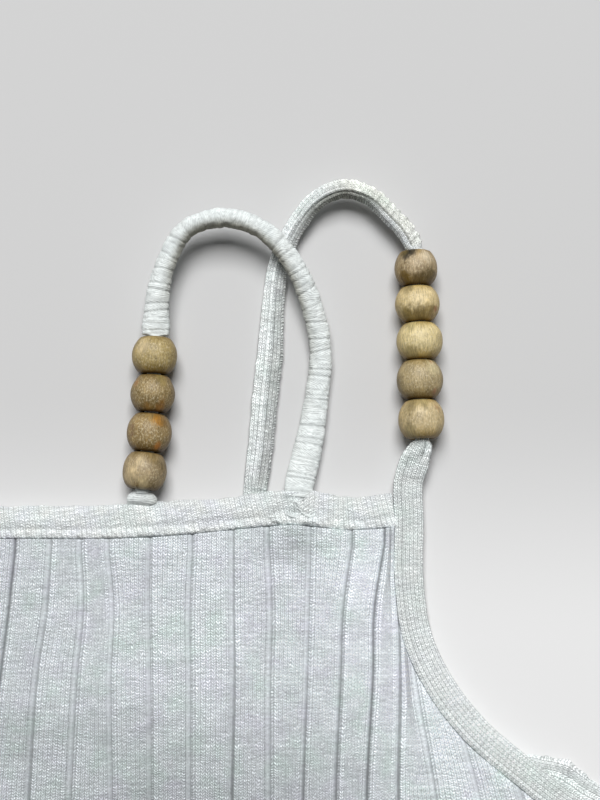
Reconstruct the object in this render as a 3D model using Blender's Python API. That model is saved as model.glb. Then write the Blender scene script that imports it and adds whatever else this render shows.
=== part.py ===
"""Ribbed tank top with beaded straps, laid flat on a table with its front up.

+Z is up, +Y points from the hem to the straps, and the origin is under the middle of the
whole garment, on the table. The back panel lies on the table, the front panel lies on it,
and each side has two straps: an outer one that runs on from the armhole binding, and an
inner one wrapped in thread. Both carry wooden beads and run down behind the front
neckline to the back neck binding. Tables are in millimetres, meshes in metres.
"""
import math

import bpy
import numpy as np

MM = 0.001
SEAM_GAP = 0.3

# Body of the garment
HEM_Y = -241.8
HEM_DEPTH = 20.0
HEM_RISE = 0.5
HEM_EDGE = 3.0
BACK_WALL = 1.3
FRONT_INNER_Z = BACK_WALL + SEAM_GAP
FRONT_WALL = 1.2
RIB_RISE = 0.9
CROWN_RISE = 0.15
RIB_PITCH = 10.45
FIRST_GROOVE_X = 1.5
LEFT_NECK_X = -1.5
LEFT_NECK_PITCH = 9.9
LEFT_LEAN = 6.8
LEFT_LEAN_FADE = 0.45
LEAN_AT_CHEST = 0.55
LEAN_AT_UPPER = 0.25
EVEN_BELOW_Y = -60.0
FLAT_AT_WAIST_Y = 20.0
RISE_AT_WAIST = 0.4
GROOVES_ON_LEFT = 16
GROOVE_HALF_WIDTH = 1.3
GROOVE_SHARE = 0.3

# Bindings, straps and beads
BINDING_HALF_WIDTH = 3.75
BACK_BINDING_Z = BACK_WALL / 2
BACK_BINDING_HALF_THICKNESS = 0.64
STRAP_IN_BORE = 1.8
BEAD_BORE = 2.5
MOUTH_CLEAR = 0.3
MOUTH_STRAIGHT = 1.5
BEAD_FLAT = 3.4
BEAD_SEGMENTS = 14
BEAD_ARC_POINTS = 5
TUBE_SIDES = 8

COTTON = (0.62, 0.66, 0.67)
BINDING_COTTON = (0.68, 0.71, 0.71)
THREAD = (0.74, 0.77, 0.76)

# The grooves between the ribs, right of the centre: where each one runs at four heights,
# how deep it is at the neck and at the bust, and how far the rib on its right stands up.
GROOVE_COLUMNS = ("neck", "upper", "chest", "bust", "depth_neck", "depth_bust", "rise")
GROOVE_HEIGHTS = (148.0, 132.0, 115.0, 85.0)
RIGHT_GROOVES = (
    (8.2, 6.9, 5.0, 2.1, 1.00, 0.95, 0.35),
    (17.1, 16.3, 14.1, 12.6, 0.60, 0.85, 0.10),
    (24.9, 25.6, 24.3, 23.1, 0.75, 0.70, 0.00),
    (32.1, 33.4, 32.9, 33.5, 0.60, 0.65, 0.00),
    (42.7, 42.6, 43.0, 43.4, 0.60, 0.65, 0.00),
    (53.6, 53.0, 53.2, 53.4, 0.80, 0.65, 0.05),
    (64.0, 64.1, 64.4, 64.1, 0.65, 0.95, 0.10),
    (73.2, 73.9, 73.6, 73.6, 0.70, 0.75, 0.15),
    (83.9, 83.5, 83.1, 82.2, 0.65, 0.95, 0.20),
    (94.7, 92.5, 91.8, 90.5, 0.90, 0.95, 0.35),
    (103.2, 100.6, 100.1, 98.4, 1.00, 1.00, 0.40),
    (105.9, 106.6, 106.9, 106.3, 0.90, 0.95, 0.15),
    (108.6, 109.0, 110.6, 115.6, 0.60, 0.80, 0.00),
    (112.0, 113.5, 118.0, 126.5, 0.60, 0.60, 0.00),
    (116.0, 119.0, 126.0, 137.2, 0.60, 0.60, 0.00),
    (121.0, 126.0, 135.0, 147.9, 0.60, 0.60, 0.00),
    (127.0, 133.0, 144.0, 158.4, 0.60, 0.60, 0.00),
)
# Rows of the ribbed surface, from above the neckline to below the hem.
PANEL_ROWS = (164.0, 148.0, 140.0, 132.0, 124.0, 115.0, 105.0, 95.0, 85.0, 64.0, 30.0,
              -30.0, -100.0, -170.0, HEM_Y + HEM_DEPTH + HEM_EDGE, HEM_Y + HEM_DEPTH,
              HEM_Y - 4.0)
PANEL_HALF_BLANK = 186.0

# The side seam from the underarm to the hem: x, y.
SIDE_SEAM = ((181.0, 64.5), (177.6, 30.0), (172.8, -20.0), (171.2, -70.0), (173.0, -130.0),
             (176.0, -190.0), (178.6, HEM_Y))

# Each row of a station table is x, y, z of the section's centre, then its half width
# across the run and its half thickness.
# The front neck binding, right half, from the centre to the armhole binding.
FRONT_NECK = (
    (0.0, 153.5, 2.2, 4.2, 1.5),
    (12.0, 153.5, 2.3, 4.2, 1.5),
    (24.0, 153.5, 2.6, 4.3, 1.5),
    (33.0, 153.7, 3.6, 4.3, 1.5),
    (40.5, 154.0, 4.6, 4.4, 1.5),
    (48.0, 154.5, 3.9, 4.4, 1.5),
    (56.0, 155.1, 3.2, 4.3, 1.5),
    (63.0, 155.7, 3.3, 4.2, 1.5),
    (69.3, 156.4, 3.5, 4.3, 1.5),
    (75.5, 157.2, 3.2, 4.5, 1.5),
    (80.8, 157.6, 2.9, 4.8, 1.6),
    (86.5, 156.7, 2.7, 4.5, 1.5),
    (94.2, 155.8, 2.6, 4.3, 1.4),
    (100.5, 156.1, 2.7, 4.3, 1.4),
    (104.9, 156.6, 2.9, 4.4, 1.3),
)
# Its section, seen along the run: a folded tape with a rolled lip below a sewn groove.
NECK_SECTION = ((-0.86, -1.0), (0.86, -1.0), (1.0, -0.1), (0.84, 0.72), (0.3, 1.0),
                (-0.15, 0.94), (-0.38, 0.5), (-0.6, 0.92), (-0.86, 0.66), (-1.0, -0.2))
BACK_NECK_Y = 142.1
BACK_NECK_HALF_HEIGHT = 4.0
BACK_NECK_HALF_LENGTH = 72.6

# The outer strap: the armhole binding from the underarm up to the neckline, then five
# beads, the loop over the shoulder and the leg down to the back neck binding.
ARMHOLE = (
    (181.2, 69.2, 2.9, 3.75, 1.3),
    (167.2, 73.6, 2.9, 3.75, 1.3),
    (150.7, 80.9, 2.9, 3.75, 1.3),
    (137.2, 91.0, 2.9, 3.75, 1.3),
    (125.5, 101.1, 2.9, 3.75, 1.3),
    (117.2, 111.9, 2.9, 3.75, 1.3),
    (111.6, 123.7, 2.9, 3.75, 1.3),
    (109.4, 138.2, 2.9, 3.75, 1.3),
    (109.5, 154.1, 2.9, 3.75, 1.3),
)
OUTER_FRONT = (
    (109.5, 164.4, 3.2, 3.80, 1.3),
    (111.0, 169.2, 4.5, 3.90, 1.4),
    (112.7, 173.5, 5.9, 2.75, 2.0),
)
OUTER_LOOP = (
    (111.4, 225.3, 5.9, 2.40, 1.9),
    (106.0, 232.7, 7.6, 2.55, 2.0),
    (98.4, 238.4, 8.2, 2.50, 2.0),
    (92.6, 239.7, 8.0, 2.45, 1.9),
    (86.6, 237.3, 6.8, 2.45, 1.8),
    (80.6, 231.0, 4.8, 2.45, 1.7),
    (75.8, 220.4, 2.6, 2.40, 1.6),
    (74.4, 206.0, 1.8, 2.35, 1.6),
    (72.4, 186.0, 1.7, 2.45, 1.5),
    (70.5, 167.5, 1.4, 2.55, 1.2),
    (69.6, 161.8, 1.0, 2.60, 0.8),
    (69.1, 157.0, 0.75, 2.60, 0.6),
    (68.4, 146.5, 0.70, 2.60, 0.6),
)
# The inner strap: from the top edge of the front neck binding over the loop to four beads,
# then under the front neckline to the back neck binding.
INNER_LOOP = (
    (81.2, 163.0, 3.0, 3.70, 1.4),
    (81.4, 164.2, 3.0, 3.75, 1.4),
    (82.4, 168.4, 2.8, 3.75, 1.5),
    (83.8, 174.6, 2.7, 3.60, 1.6),
    (85.9, 187.2, 2.8, 3.05, 1.7),
    (86.7, 198.2, 3.6, 2.85, 1.8),
    (84.2, 210.5, 5.8, 2.80, 1.9),
    (78.8, 221.5, 8.4, 2.65, 1.9),
    (71.4, 229.0, 9.6, 2.50, 1.9),
    (61.6, 231.9, 10.0, 2.50, 1.9),
    (52.3, 229.0, 9.6, 2.60, 1.9),
    (46.7, 220.3, 8.2, 2.70, 1.9),
    (44.4, 210.1, 6.9, 3.05, 1.8),
    (44.0, 202.1, 6.0, 3.50, 1.8),
)
INNER_FOOT = (
    (40.9, 160.7, 5.5, 2.30, 1.3),
    (40.8, 159.6, 3.9, 3.45, 0.9),
    (40.7, 158.1, 1.7, 3.60, 0.6),
    (39.9, 154.2, 0.75, 3.65, 0.6),
    (39.5, 146.5, 0.70, 3.65, 0.6),
)
# The beads in the order that their strap meets them: x, y, radius, length and colour.
OUTER_BEADS = (
    (112.6, 179.8, 6.10, 10.1, (0.40, 0.33, 0.19)),
    (112.3, 190.1, 6.05, 10.1, (0.35, 0.28, 0.16)),
    (112.3, 200.1, 6.15, 9.6, (0.47, 0.39, 0.21)),
    (111.8, 209.8, 5.90, 9.3, (0.37, 0.29, 0.16)),
    (111.5, 219.3, 5.70, 9.2, (0.30, 0.23, 0.14)),
)
INNER_BEADS = (
    (43.8, 196.4, 6.00, 9.6, (0.32, 0.25, 0.12)),
    (43.4, 186.5, 5.80, 9.6, (0.27, 0.19, 0.10)),
    (42.6, 176.4, 5.85, 9.8, (0.28, 0.20, 0.11)),
    (41.5, 166.5, 5.80, 9.6, (0.37, 0.29, 0.18)),
)
# The back armhole binding from the corner of the back neckline to the underarm, and how
# far its crinkled outer lip stands up where it passes the front binding.
BACK_ARMHOLE = (
    (76.8, 146.0, 0.0),
    (79.4, 136.0, 0.0),
    (87.0, 124.5, 0.0),
    (98.0, 113.5, 0.0),
    (112.0, 103.0, 0.0),
    (126.0, 95.0, 0.0),
    (138.3, 90.8, 0.0),
    (141.0, 90.3, 0.2),
    (143.6, 89.7, 0.9),
    (145.8, 89.3, 0.3),
    (147.9, 88.5, 1.2),
    (149.8, 87.4, 0.4),
    (151.8, 85.9, 1.0),
    (153.8, 84.6, 0.2),
    (156.2, 83.3, 0.0),
    (167.0, 77.6, 0.0),
    (181.2, 71.6, 0.0),
)
# Its section: outward, up, and how much of the lip's height each point takes.
BACK_SECTION = ((-1.0, -1.0, 0.0), (-1.0, 1.0, 0.0), (0.3, 1.0, 0.0), (0.55, 1.0, 1.0),
                (0.85, 1.0, 1.1), (1.0, 0.2, 0.4), (0.95, -1.0, 0.0))


def clear_scene():
    for item in list(bpy.data.objects):
        bpy.data.objects.remove(item, do_unlink=True)


def finish(item, colour, roughness):
    """A Principled material of the item's own, with its plain colour."""
    material = bpy.data.materials.new(item.name)
    material.use_nodes = True
    shader = material.node_tree.nodes["Principled BSDF"]
    shader.inputs["Base Color"].default_value = (*colour, 1.0)
    shader.inputs["Roughness"].default_value = roughness
    shader.inputs["Metallic"].default_value = 0.0
    item.data.materials.append(material)


def add_mesh(name, points, faces):
    """A mesh object from points in millimetres."""
    mesh = bpy.data.meshes.new(name)
    mesh.from_pydata((np.asarray(points) * MM).tolist(), [], faces)
    mesh.update()
    item = bpy.data.objects.new(name, mesh)
    bpy.context.scene.collection.objects.link(item)
    return item


def smooth_curve(points, steps):
    """Cubic curve through the points, with the given number of steps to each span.

    Each point's slope is the mean of its two spans' slopes, the shorter span counting more.
    """
    span = np.linalg.norm(np.diff(points, axis=0), axis=1)[:, None]
    slope = np.diff(points, axis=0) / span
    inner = (span[:-1] * slope[1:] + span[1:] * slope[:-1]) / (span[:-1] + span[1:])
    tangent = np.vstack([slope[:1], inner, slope[-1:]])[:, None, :]
    t = (np.arange(steps) / steps)[None, :, None]
    span, start, end = span[:, None], points[:-1, None], points[1:, None]
    curve = ((2 * t ** 3 - 3 * t ** 2 + 1) * start + (3 * t ** 2 - 2 * t ** 3) * end
             + span * (t ** 3 - 2 * t ** 2 + t) * tangent[:-1]
             + span * (t ** 3 - t ** 2) * tangent[1:])
    return np.vstack([curve.reshape(-1, points.shape[1]), points[-1]])


def straight_between(values, steps):
    """The columns of values, with straight steps between their rows."""
    rows = np.linspace(0, len(values) - 1, (len(values) - 1) * steps + 1)
    whole = np.arange(len(values))
    return np.column_stack([np.interp(rows, whole, column) for column in values.T])


def sections(stations, steps):
    """Centre, sideways and upward unit vectors and half sizes of each section of a run."""
    table = np.array(stations)
    centre = smooth_curve(table[:, :3], steps)
    half = straight_between(table[:, 3:], steps)
    along = np.gradient(centre, axis=0)
    along /= np.linalg.norm(along, axis=1)[:, None]
    left = np.cross((0.0, 0.0, 1.0), along)
    left /= np.linalg.norm(left, axis=1)[:, None]
    return centre, left, np.cross(along, left), half


def closed_run(name, rings):
    """A closed skin over rings of points, each ring turning from the left side upwards."""
    count, sides, _ = rings.shape
    faces = [
        (i * sides + j, i * sides + (j + 1) % sides,
         (i + 1) * sides + (j + 1) % sides, (i + 1) * sides + j)
        for i in range(count - 1) for j in range(sides)]
    faces.append(tuple(reversed(range(sides))))
    faces.append(tuple(range((count - 1) * sides, count * sides)))
    return add_mesh(name, rings.reshape(-1, 3), faces)


def sweep(name, stations, profile, steps):
    """Carry a profile of (left, up) pairs, each within 1, along the stations."""
    centre, left, up, half = sections(stations, steps)
    across = np.array(profile)
    rings = (centre[:, None]
             + left[:, None] * (half[:, :1] * across[:, 0])[:, :, None]
             + up[:, None] * (half[:, 1:] * across[:, 1])[:, :, None])
    return closed_run(name, rings)


def oval_profile(sides, roundness):
    """A superellipse of the given number of sides; roundness 1 is an ellipse."""
    angle = (np.arange(sides) + 0.5) * 2 * math.pi / sides
    left, up = np.cos(angle), np.sin(angle)
    return [(math.copysign(abs(x) ** roundness, x), math.copysign(abs(z) ** roundness, z))
            for x, z in zip(left / max(left), up / max(up))]


def mirrored(stations, side):
    """The stations with x turned to the given side, 1 right or -1 left."""
    return [(side * row[0], *row[1:]) for row in stations]


def panel_side_curve(points, distance, steps):
    """A run of x, y points moved to its right by a distance, in the table's plane."""
    line = smooth_curve(np.array(points)[:, :2], steps)
    along = np.gradient(line, axis=0)
    along /= np.linalg.norm(along, axis=1)[:, None]
    return line + distance * np.column_stack([along[:, 1], -along[:, 0]])


def both_halves(right_half):
    """The closed outline whose right half runs from the centre top to the centre bottom."""
    left_half = right_half[-2:0:-1] * (-1.0, 1.0)
    return np.vstack([right_half, left_half])


def prism(name, outline, low, high):
    """A flat slab with the given outline, which runs clockwise seen from above."""
    count = len(outline)
    points = [(x, y, z) for z in (low, high) for x, y in outline]
    faces = [tuple(range(count)), tuple(reversed(range(count, 2 * count)))]
    faces += [(i, i + count, (i + 1) % count + count, (i + 1) % count) for i in range(count)]
    return add_mesh(name, points, faces)


def armhole_and_side(armhole, neck_y):
    """From the neckline's corner down the armhole and the side seam to the hem's middle."""
    rising = armhole[::-1]
    corner = (np.interp(neck_y, rising[:, 1], rising[:, 0]), neck_y)
    side = smooth_curve(np.array(SIDE_SEAM), 2)
    inside = (armhole[:, 1] < neck_y) & (armhole[:, 0] < side[0][0] - 2.0)
    return np.vstack([corner, armhole[inside], side, (0.0, HEM_Y)])


def front_outline():
    """Neckline, armhole, side seam and hem of the front panel, each a seam gap inside."""
    centre, left, _, half = sections(FRONT_NECK, 1)
    neck = centre[:, :2] - left[:, :2] * (half[:, :1] + SEAM_GAP)
    armhole = panel_side_curve(ARMHOLE, -(BINDING_HALF_WIDTH + SEAM_GAP), 3)[::-1]
    neck = neck[neck[:, 0] < armhole[0][0] - 1.0]
    return both_halves(np.vstack([neck, armhole_and_side(armhole, neck[-1][1])]))


def back_outline():
    """The same round the back, whose neckline is lower and whose armhole is cut deeper."""
    neck_y = BACK_NECK_Y - BACK_NECK_HALF_HEIGHT - SEAM_GAP
    armhole = panel_side_curve(BACK_ARMHOLE, BINDING_HALF_WIDTH + SEAM_GAP, 2)
    return both_halves(np.vstack([(0.0, neck_y), armhole_and_side(armhole, neck_y)]))


def groove_lines(rows):
    """x and depth of every groove at each row, left to right, and the rise of the ribs."""
    table = {name: column for name, column in zip(GROOVE_COLUMNS, np.array(RIGHT_GROOVES).T)}
    heights = (HEM_Y, EVEN_BELOW_Y) + GROOVE_HEIGHTS[::-1]
    order = np.arange(len(RIGHT_GROOVES))
    hem_right = FIRST_GROOVE_X + RIB_PITCH * order
    right = np.stack([hem_right, hem_right, table["bust"], table["chest"], table["upper"],
                      table["neck"]])
    order = np.arange(1, GROOVES_ON_LEFT + 1)
    hem_left = FIRST_GROOVE_X - RIB_PITCH * order
    neck_left = LEFT_NECK_X - LEFT_NECK_PITCH * (order - 1)
    lean = LEFT_LEAN - LEFT_LEAN_FADE * (order - 1)
    left = np.stack([hem_left, hem_left, neck_left - lean, neck_left - LEAN_AT_CHEST * lean,
                     neck_left - LEAN_AT_UPPER * lean, neck_left])
    x = np.hstack([left[:, ::-1], right])
    lines = np.column_stack([np.interp(rows, heights, column) for column in x.T])
    from_right = np.hstack([order[::-1] - 1, np.arange(len(RIGHT_GROOVES))])
    towards_bust = np.clip((GROOVE_HEIGHTS[0] - rows) / (GROOVE_HEIGHTS[0] - GROOVE_HEIGHTS[-1]),
                           0, 1)[:, None]
    depth = (table["depth_neck"][from_right] * (1 - towards_bust)
             + table["depth_bust"][from_right] * towards_bust)
    fade = np.interp(rows, (HEM_Y, FLAT_AT_WAIST_Y, GROOVE_HEIGHTS[-1]),
                     (0.0, RISE_AT_WAIST, 1.0))[:, None]
    return lines, depth, table["rise"][from_right] * fade


def ribbed_blank():
    """The front cloth before it is cut: ribs raised on a wall with a plain inside."""
    rows = np.array(PANEL_ROWS)
    lines, depth, rise = groove_lines(rows)
    edge = np.full((len(rows), 1), PANEL_HALF_BLANK)
    gap = np.diff(np.hstack([-edge, lines, edge]), axis=1)
    half = np.minimum(GROOVE_HALF_WIDTH,
                      GROOVE_SHARE * np.minimum(gap[:, :-1], gap[:, 1:]))
    shoulder_left, shoulder_right = lines - half, lines + half
    starts = np.hstack([-edge, shoulder_right])
    ends = np.hstack([shoulder_left, edge])
    crown_x = (starts + ends) / 2
    hem_top = HEM_Y + HEM_DEPTH
    hem = np.interp(rows, (hem_top, hem_top + HEM_EDGE), (HEM_RISE, 0.0))[:, None]
    top = FRONT_INNER_Z + FRONT_WALL + RIB_RISE + hem
    rib_rise = np.hstack([np.zeros((len(rows), 1)), rise])
    crown_z = top + CROWN_RISE + rib_rise
    columns_x, columns_z = [-edge], [crown_z[:, :1] - CROWN_RISE]
    for k in range(lines.shape[1]):
        columns_x += [crown_x[:, k:k + 1], shoulder_left[:, k:k + 1], lines[:, k:k + 1],
                      shoulder_right[:, k:k + 1]]
        columns_z += [crown_z[:, k:k + 1], crown_z[:, k:k + 1] - CROWN_RISE,
                      top - depth[:, k:k + 1], crown_z[:, k + 1:k + 2] - CROWN_RISE]
    columns_x += [crown_x[:, -1:], edge]
    columns_z += [crown_z[:, -1:], crown_z[:, -1:] - CROWN_RISE]
    x, z = np.hstack(columns_x), np.hstack(columns_z)
    row_count, column_count = x.shape
    y = np.repeat(rows[:, None], column_count, axis=1)
    surface = np.stack([x, y, z], axis=2).reshape(-1, 3)
    left_foot = [(-PANEL_HALF_BLANK, row, FRONT_INNER_Z) for row in rows]
    right_foot = [(PANEL_HALF_BLANK, row, FRONT_INNER_Z) for row in rows]
    top_index = np.arange(row_count * column_count).reshape(row_count, column_count)
    left_index = row_count * column_count + np.arange(row_count)
    right_index = left_index + row_count
    faces = [(top_index[i, j], top_index[i + 1, j], top_index[i + 1, j + 1], top_index[i, j + 1])
             for i in range(row_count - 1) for j in range(column_count - 1)]
    faces += [(left_index[i], right_index[i], right_index[i + 1], left_index[i + 1])
              for i in range(row_count - 1)]
    faces.append((*top_index[:, 0][::-1], *left_index))
    faces.append((*top_index[:, -1], *right_index[::-1]))
    faces.append((*top_index[0], right_index[0], left_index[0]))
    faces.append((*top_index[-1][::-1], left_index[-1], right_index[-1]))
    faces = [tuple(int(corner) for corner in face) for face in faces]
    return add_mesh("front_panel", np.vstack([surface, left_foot, right_foot]), faces)


def front_panel():
    item = ribbed_blank()
    cutter = prism("front_pattern", front_outline(), -5.0, 15.0)
    cutter.hide_render = True
    cutter.display_type = "WIRE"
    cut = item.modifiers.new("cut to pattern", "BOOLEAN")
    cut.operation = "INTERSECT"
    cut.object = cutter
    finish(item, COTTON, 0.9)


def back_panel():
    item = prism("back_panel", back_outline(), 0.0, BACK_WALL)
    finish(item, COTTON, 0.9)


def neck_bindings():
    left_half = mirrored(FRONT_NECK[:0:-1], -1)
    front = sweep("front_neck_binding", (*left_half, *FRONT_NECK), NECK_SECTION, 2)
    finish(front, BINDING_COTTON, 0.9)
    ends = [(x, BACK_NECK_Y, BACK_BINDING_Z, BACK_NECK_HALF_HEIGHT, BACK_BINDING_HALF_THICKNESS)
            for x in (-BACK_NECK_HALF_LENGTH, BACK_NECK_HALF_LENGTH)]
    back = sweep("back_neck_binding", ends, oval_profile(TUBE_SIDES, 0.5), 1)
    finish(back, BINDING_COTTON, 0.9)


def bead_axes(beads, side):
    """Centres of a row of beads on the table's plane, and the way the strap runs in each."""
    centres = np.array([(side * row[0], row[1]) for row in beads])
    along = np.gradient(centres, axis=0)
    return centres, along / np.linalg.norm(along, axis=1)[:, None]


def bore_stations(beads):
    """Stations of a strap where it runs thin through its beads, straight at both mouths."""
    centres, along = bead_axes(beads, 1)
    mouth = np.array([row[3] / 2 + MOUTH_CLEAR for row in beads])[:, None]
    starts, ends = centres - along * mouth, centres + along * mouth
    straight = along * MOUTH_STRAIGHT
    line = [starts[0], starts[0] + straight[0], *centres[1:-1], ends[-1] - straight[-1], ends[-1]]
    radii = [row[2] for row in beads]
    heights = [radii[0], *radii, radii[-1]]
    return [(*point, z, STRAP_IN_BORE, STRAP_IN_BORE) for point, z in zip(line, heights)]


def straps(side, word):
    outer = (*ARMHOLE, *OUTER_FRONT, *bore_stations(OUTER_BEADS), *OUTER_LOOP)
    item = sweep(f"outer_strap_{word}", mirrored(outer, side), oval_profile(TUBE_SIDES, 0.8), 2)
    item.data.shade_smooth()
    finish(item, BINDING_COTTON, 0.9)
    inner = (*INNER_LOOP, *bore_stations(INNER_BEADS), *INNER_FOOT)
    item = sweep(f"inner_strap_{word}", mirrored(inner, side), oval_profile(TUBE_SIDES, 0.8), 2)
    item.data.shade_smooth()
    finish(item, THREAD, 0.8)


def back_armhole(side, word):
    """A thin tape, its outer lip raised where the crinkle shows past the front binding."""
    flat = [(x, y, BACK_BINDING_Z, BINDING_HALF_WIDTH, BACK_BINDING_HALF_THICKNESS)
            for x, y, _ in BACK_ARMHOLE]
    centre, left, up, half = sections(mirrored(flat, side), 2)
    lip = straight_between(np.array(BACK_ARMHOLE)[:, 2:], 2)
    outward, upward, raised = np.array(BACK_SECTION).T
    rings = (centre[:, None]
             + left[:, None] * (side * half[:, :1] * outward)[:, :, None]
             + up[:, None] * (half[:, 1:] * upward + lip * raised)[:, :, None])
    item = closed_run(f"back_armhole_{word}", rings[:, ::-1] if side > 0 else rings)
    finish(item, BINDING_COTTON, 0.9)


def bead(name, centre, along, radius, length, colour):
    """A turned bead: a ball with two flat ends and a bore, lying on the table."""
    reach = length / 2
    ball = reach / math.sqrt(1 - (BEAD_FLAT / radius) ** 2)
    tip = math.asin(reach / ball)
    angle = np.linspace(-tip, tip, BEAD_ARC_POINTS)
    run = np.hstack([-reach, ball * np.sin(angle), reach])
    out = np.hstack([BEAD_BORE, radius * np.cos(angle), BEAD_BORE])
    turn = np.arange(BEAD_SEGMENTS) * 2 * math.pi / BEAD_SEGMENTS
    side = np.array((along[1], -along[0]))
    across = out[:, None] * np.sin(turn)
    points = np.stack([
        centre[0] + run[:, None] * along[0] + across * side[0],
        centre[1] + run[:, None] * along[1] + across * side[1],
        radius - out[:, None] * np.cos(turn)], axis=2)
    rows = len(run)
    faces = [
        (i * BEAD_SEGMENTS + j, (i + 1) % rows * BEAD_SEGMENTS + j,
         (i + 1) % rows * BEAD_SEGMENTS + (j + 1) % BEAD_SEGMENTS,
         i * BEAD_SEGMENTS + (j + 1) % BEAD_SEGMENTS)
        for i in range(rows) for j in range(BEAD_SEGMENTS)]
    item = add_mesh(name, points.reshape(-1, 3), faces)
    item.data.shade_smooth()
    item.data.set_sharp_from_angle(angle=math.radians(40))
    finish(item, colour, 0.55)


def bead_rows(side, word):
    for row_name, beads in (("outer", OUTER_BEADS), ("inner", INNER_BEADS)):
        for number, (row, *place) in enumerate(zip(beads, *bead_axes(beads, side)), start=1):
            bead(f"bead_{row_name}_{word}_{number}", *place, *row[2:])


def build():
    clear_scene()
    back_panel()
    front_panel()
    neck_bindings()
    for side, word in ((1, "right"), (-1, "left")):
        back_armhole(side, word)
        straps(side, word)
        bead_rows(side, word)


build()
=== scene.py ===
"""Looks of a ribbed tank top with beaded straps, laid flat on a table with its front up.

The sections follow the garment as it is sewn: the two ribbed panels, the bindings round
the neck and the armholes, the straps, the beads threaded on them, and the stitches. Then
come the table, the light and the camera. +Z is up and +Y points from the hem to the
straps. Tables of sizes are in millimetres, and meshes are in metres.
"""
import math

import bpy
import numpy as np
from mathutils import Matrix, Vector


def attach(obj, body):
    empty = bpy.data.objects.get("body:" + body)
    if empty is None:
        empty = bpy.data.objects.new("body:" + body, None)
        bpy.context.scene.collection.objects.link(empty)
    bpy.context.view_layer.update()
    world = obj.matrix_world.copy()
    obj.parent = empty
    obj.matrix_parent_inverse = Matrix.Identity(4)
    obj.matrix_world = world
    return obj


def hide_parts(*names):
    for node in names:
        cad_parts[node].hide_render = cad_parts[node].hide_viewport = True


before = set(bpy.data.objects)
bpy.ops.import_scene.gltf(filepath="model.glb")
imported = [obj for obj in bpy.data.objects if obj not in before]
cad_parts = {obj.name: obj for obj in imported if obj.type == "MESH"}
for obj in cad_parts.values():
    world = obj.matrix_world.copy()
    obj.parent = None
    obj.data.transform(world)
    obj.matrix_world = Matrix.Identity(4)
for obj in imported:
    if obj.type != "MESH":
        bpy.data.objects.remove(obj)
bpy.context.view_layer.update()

# ---------------------------------------------------------------------------------------
# Back panel. A single piece of wide-rib cotton knit with a lower neckline than the front,
# lying on the table with its ribs pressed down and its side seams under the front's.
# ---------------------------------------------------------------------------------------
MM = 0.001
SEAM_GAP = 0.3
HEM_Y = -241.8
HEM_DEPTH = 20.0
SIDE_SEAM = (
    (181, 64.5), (177.6, 30), (172.8, -20), (171.2, -70), (173, -130), (176, -190), (178.6, HEM_Y))
BACK_WALL = 1.3
BACK_GROOVE = 0.45
BACK_NECK_Y = 142.1
BACK_NECK_HALF_HEIGHT = 4.0
BACK_NECK_HALF_LENGTH = 72.6
BINDING_HALF_WIDTH = 3.75
# The back armhole binding, from the corner of the back neckline to the underarm, and how
# far its crinkled outer lip stands up.
BACK_ARMHOLE = (
    (76.8, 146, 0), (79.4, 136, 0), (87, 124.5, 0), (98, 113.5, 0), (112, 103, 0), (126, 95, 0),
    (138.3, 90.8, 0), (141, 90.3, 0.2), (143.6, 89.7, 0.9), (145.8, 89.3, 0.3), (147.9, 88.5, 1.2),
    (149.8, 87.4, 0.4), (151.8, 85.9, 1), (153.8, 84.6, 0.2), (156.2, 83.3, 0), (167, 77.6, 0),
    (181.2, 71.6, 0))
# Rows of points: those by an edge are this far from it, and the rest are in bands, each
# given from its lower end to its upper one with the pitch.
EDGE_ROWS = np.array((0.0, 0.3, 0.8, 1.6))
BACK_ROWS = ((HEM_Y + 3.0, HEM_Y + 25.0, 1.6), (HEM_Y + 25.0, 60.0, 4.5), (60.0, 134.0, 2.0))

RIB_PITCH = 10.45
FIRST_GROOVE_X = 1.5
GROOVES_ON_LEFT = 16
GROOVES_ON_RIGHT = 17
BLANK_HALF_WIDTH = 186.0
CROWN_RISE = 0.15
GROOVE_REACH = 2.0
GROOVE_SHARE = 0.42
TOP_WALES = 7.0
WALES_PER_RIB = 12.0
# A groove seen from the hem, from its left shoulder to its right one: the place across it,
# its share of the depth, its tone, its wale, and how plain the knit is. The tone is painted
# shade, darkest on the groove's lines and on a folded groove's closed bottom, with a faint
# painted highlight on its shoulders. An open groove has a smooth floor between two painted
# dark lines, and to the right of that the wales stand edgeways with half of each in sight. A
# folded one closes over its bottom, with its left side rolling down into it.
OPEN_GROOVE = np.array((
    (-1.7, 0, 1, 7, 0), (-1.36, 0.02, 1.02, 7.4, 0), (-1.14, 0.14, 0.98, 7.6, 0),
    (-0.96, 0.42, 0.74, 7.8, 0.5), (-0.8, 0.46, 0.82, 8, 0.8), (-0.56, 0.48, 0.87, 8.3, 0.7),
    (-0.2, 0.56, 0.85, 8.6, 0.7), (0.02, 0.74, 0.79, 8.8, 0.8), (0.2, 0.92, 0.71, 9, 0.6),
    (0.38, 0.86, 0.75, 10.7, 0.2), (0.6, 0.6, 0.88, 10.88, 0), (0.98, 0.3, 0.95, 11.2, 0),
    (1.5, 0.1, 1.01, 11.6, 0), (2, 0, 1, 12, 0)))
FOLDED_GROOVE = np.array((
    (-2, 0, 1, 7, 0), (-1.7, 0.04, 1.01, 7.4, 0), (-1.4, 0.1, 1, 7.7, 0),
    (-1.14, 0.17, 0.98, 7.95, 0.1), (-0.92, 0.26, 0.96, 8.2, 0.3), (-0.68, 0.4, 0.91, 8.45, 0.5),
    (-0.42, 0.66, 0.74, 8.7, 0.8), (-0.22, 1, 0.42, 8.85, 1), (-0.04, 1.15, 0.26, 9, 1),
    (0.12, 0.9, 0.4, 10.6, 0.6), (0.32, 0.42, 0.72, 10.76, 0.1), (0.62, 0.14, 0.92, 11.03, 0),
    (1.1, 0.04, 0.98, 11.46, 0), (1.7, 0, 1, 12, 0)))
RIB_TOP_STEPS = np.array((0.12, 0.37, 0.63, 0.88))
EDGE_ROUNDING = 1.7
EDGE_THICKNESS = 0.35
PLAIN_HEIGHT = 0.38
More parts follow.
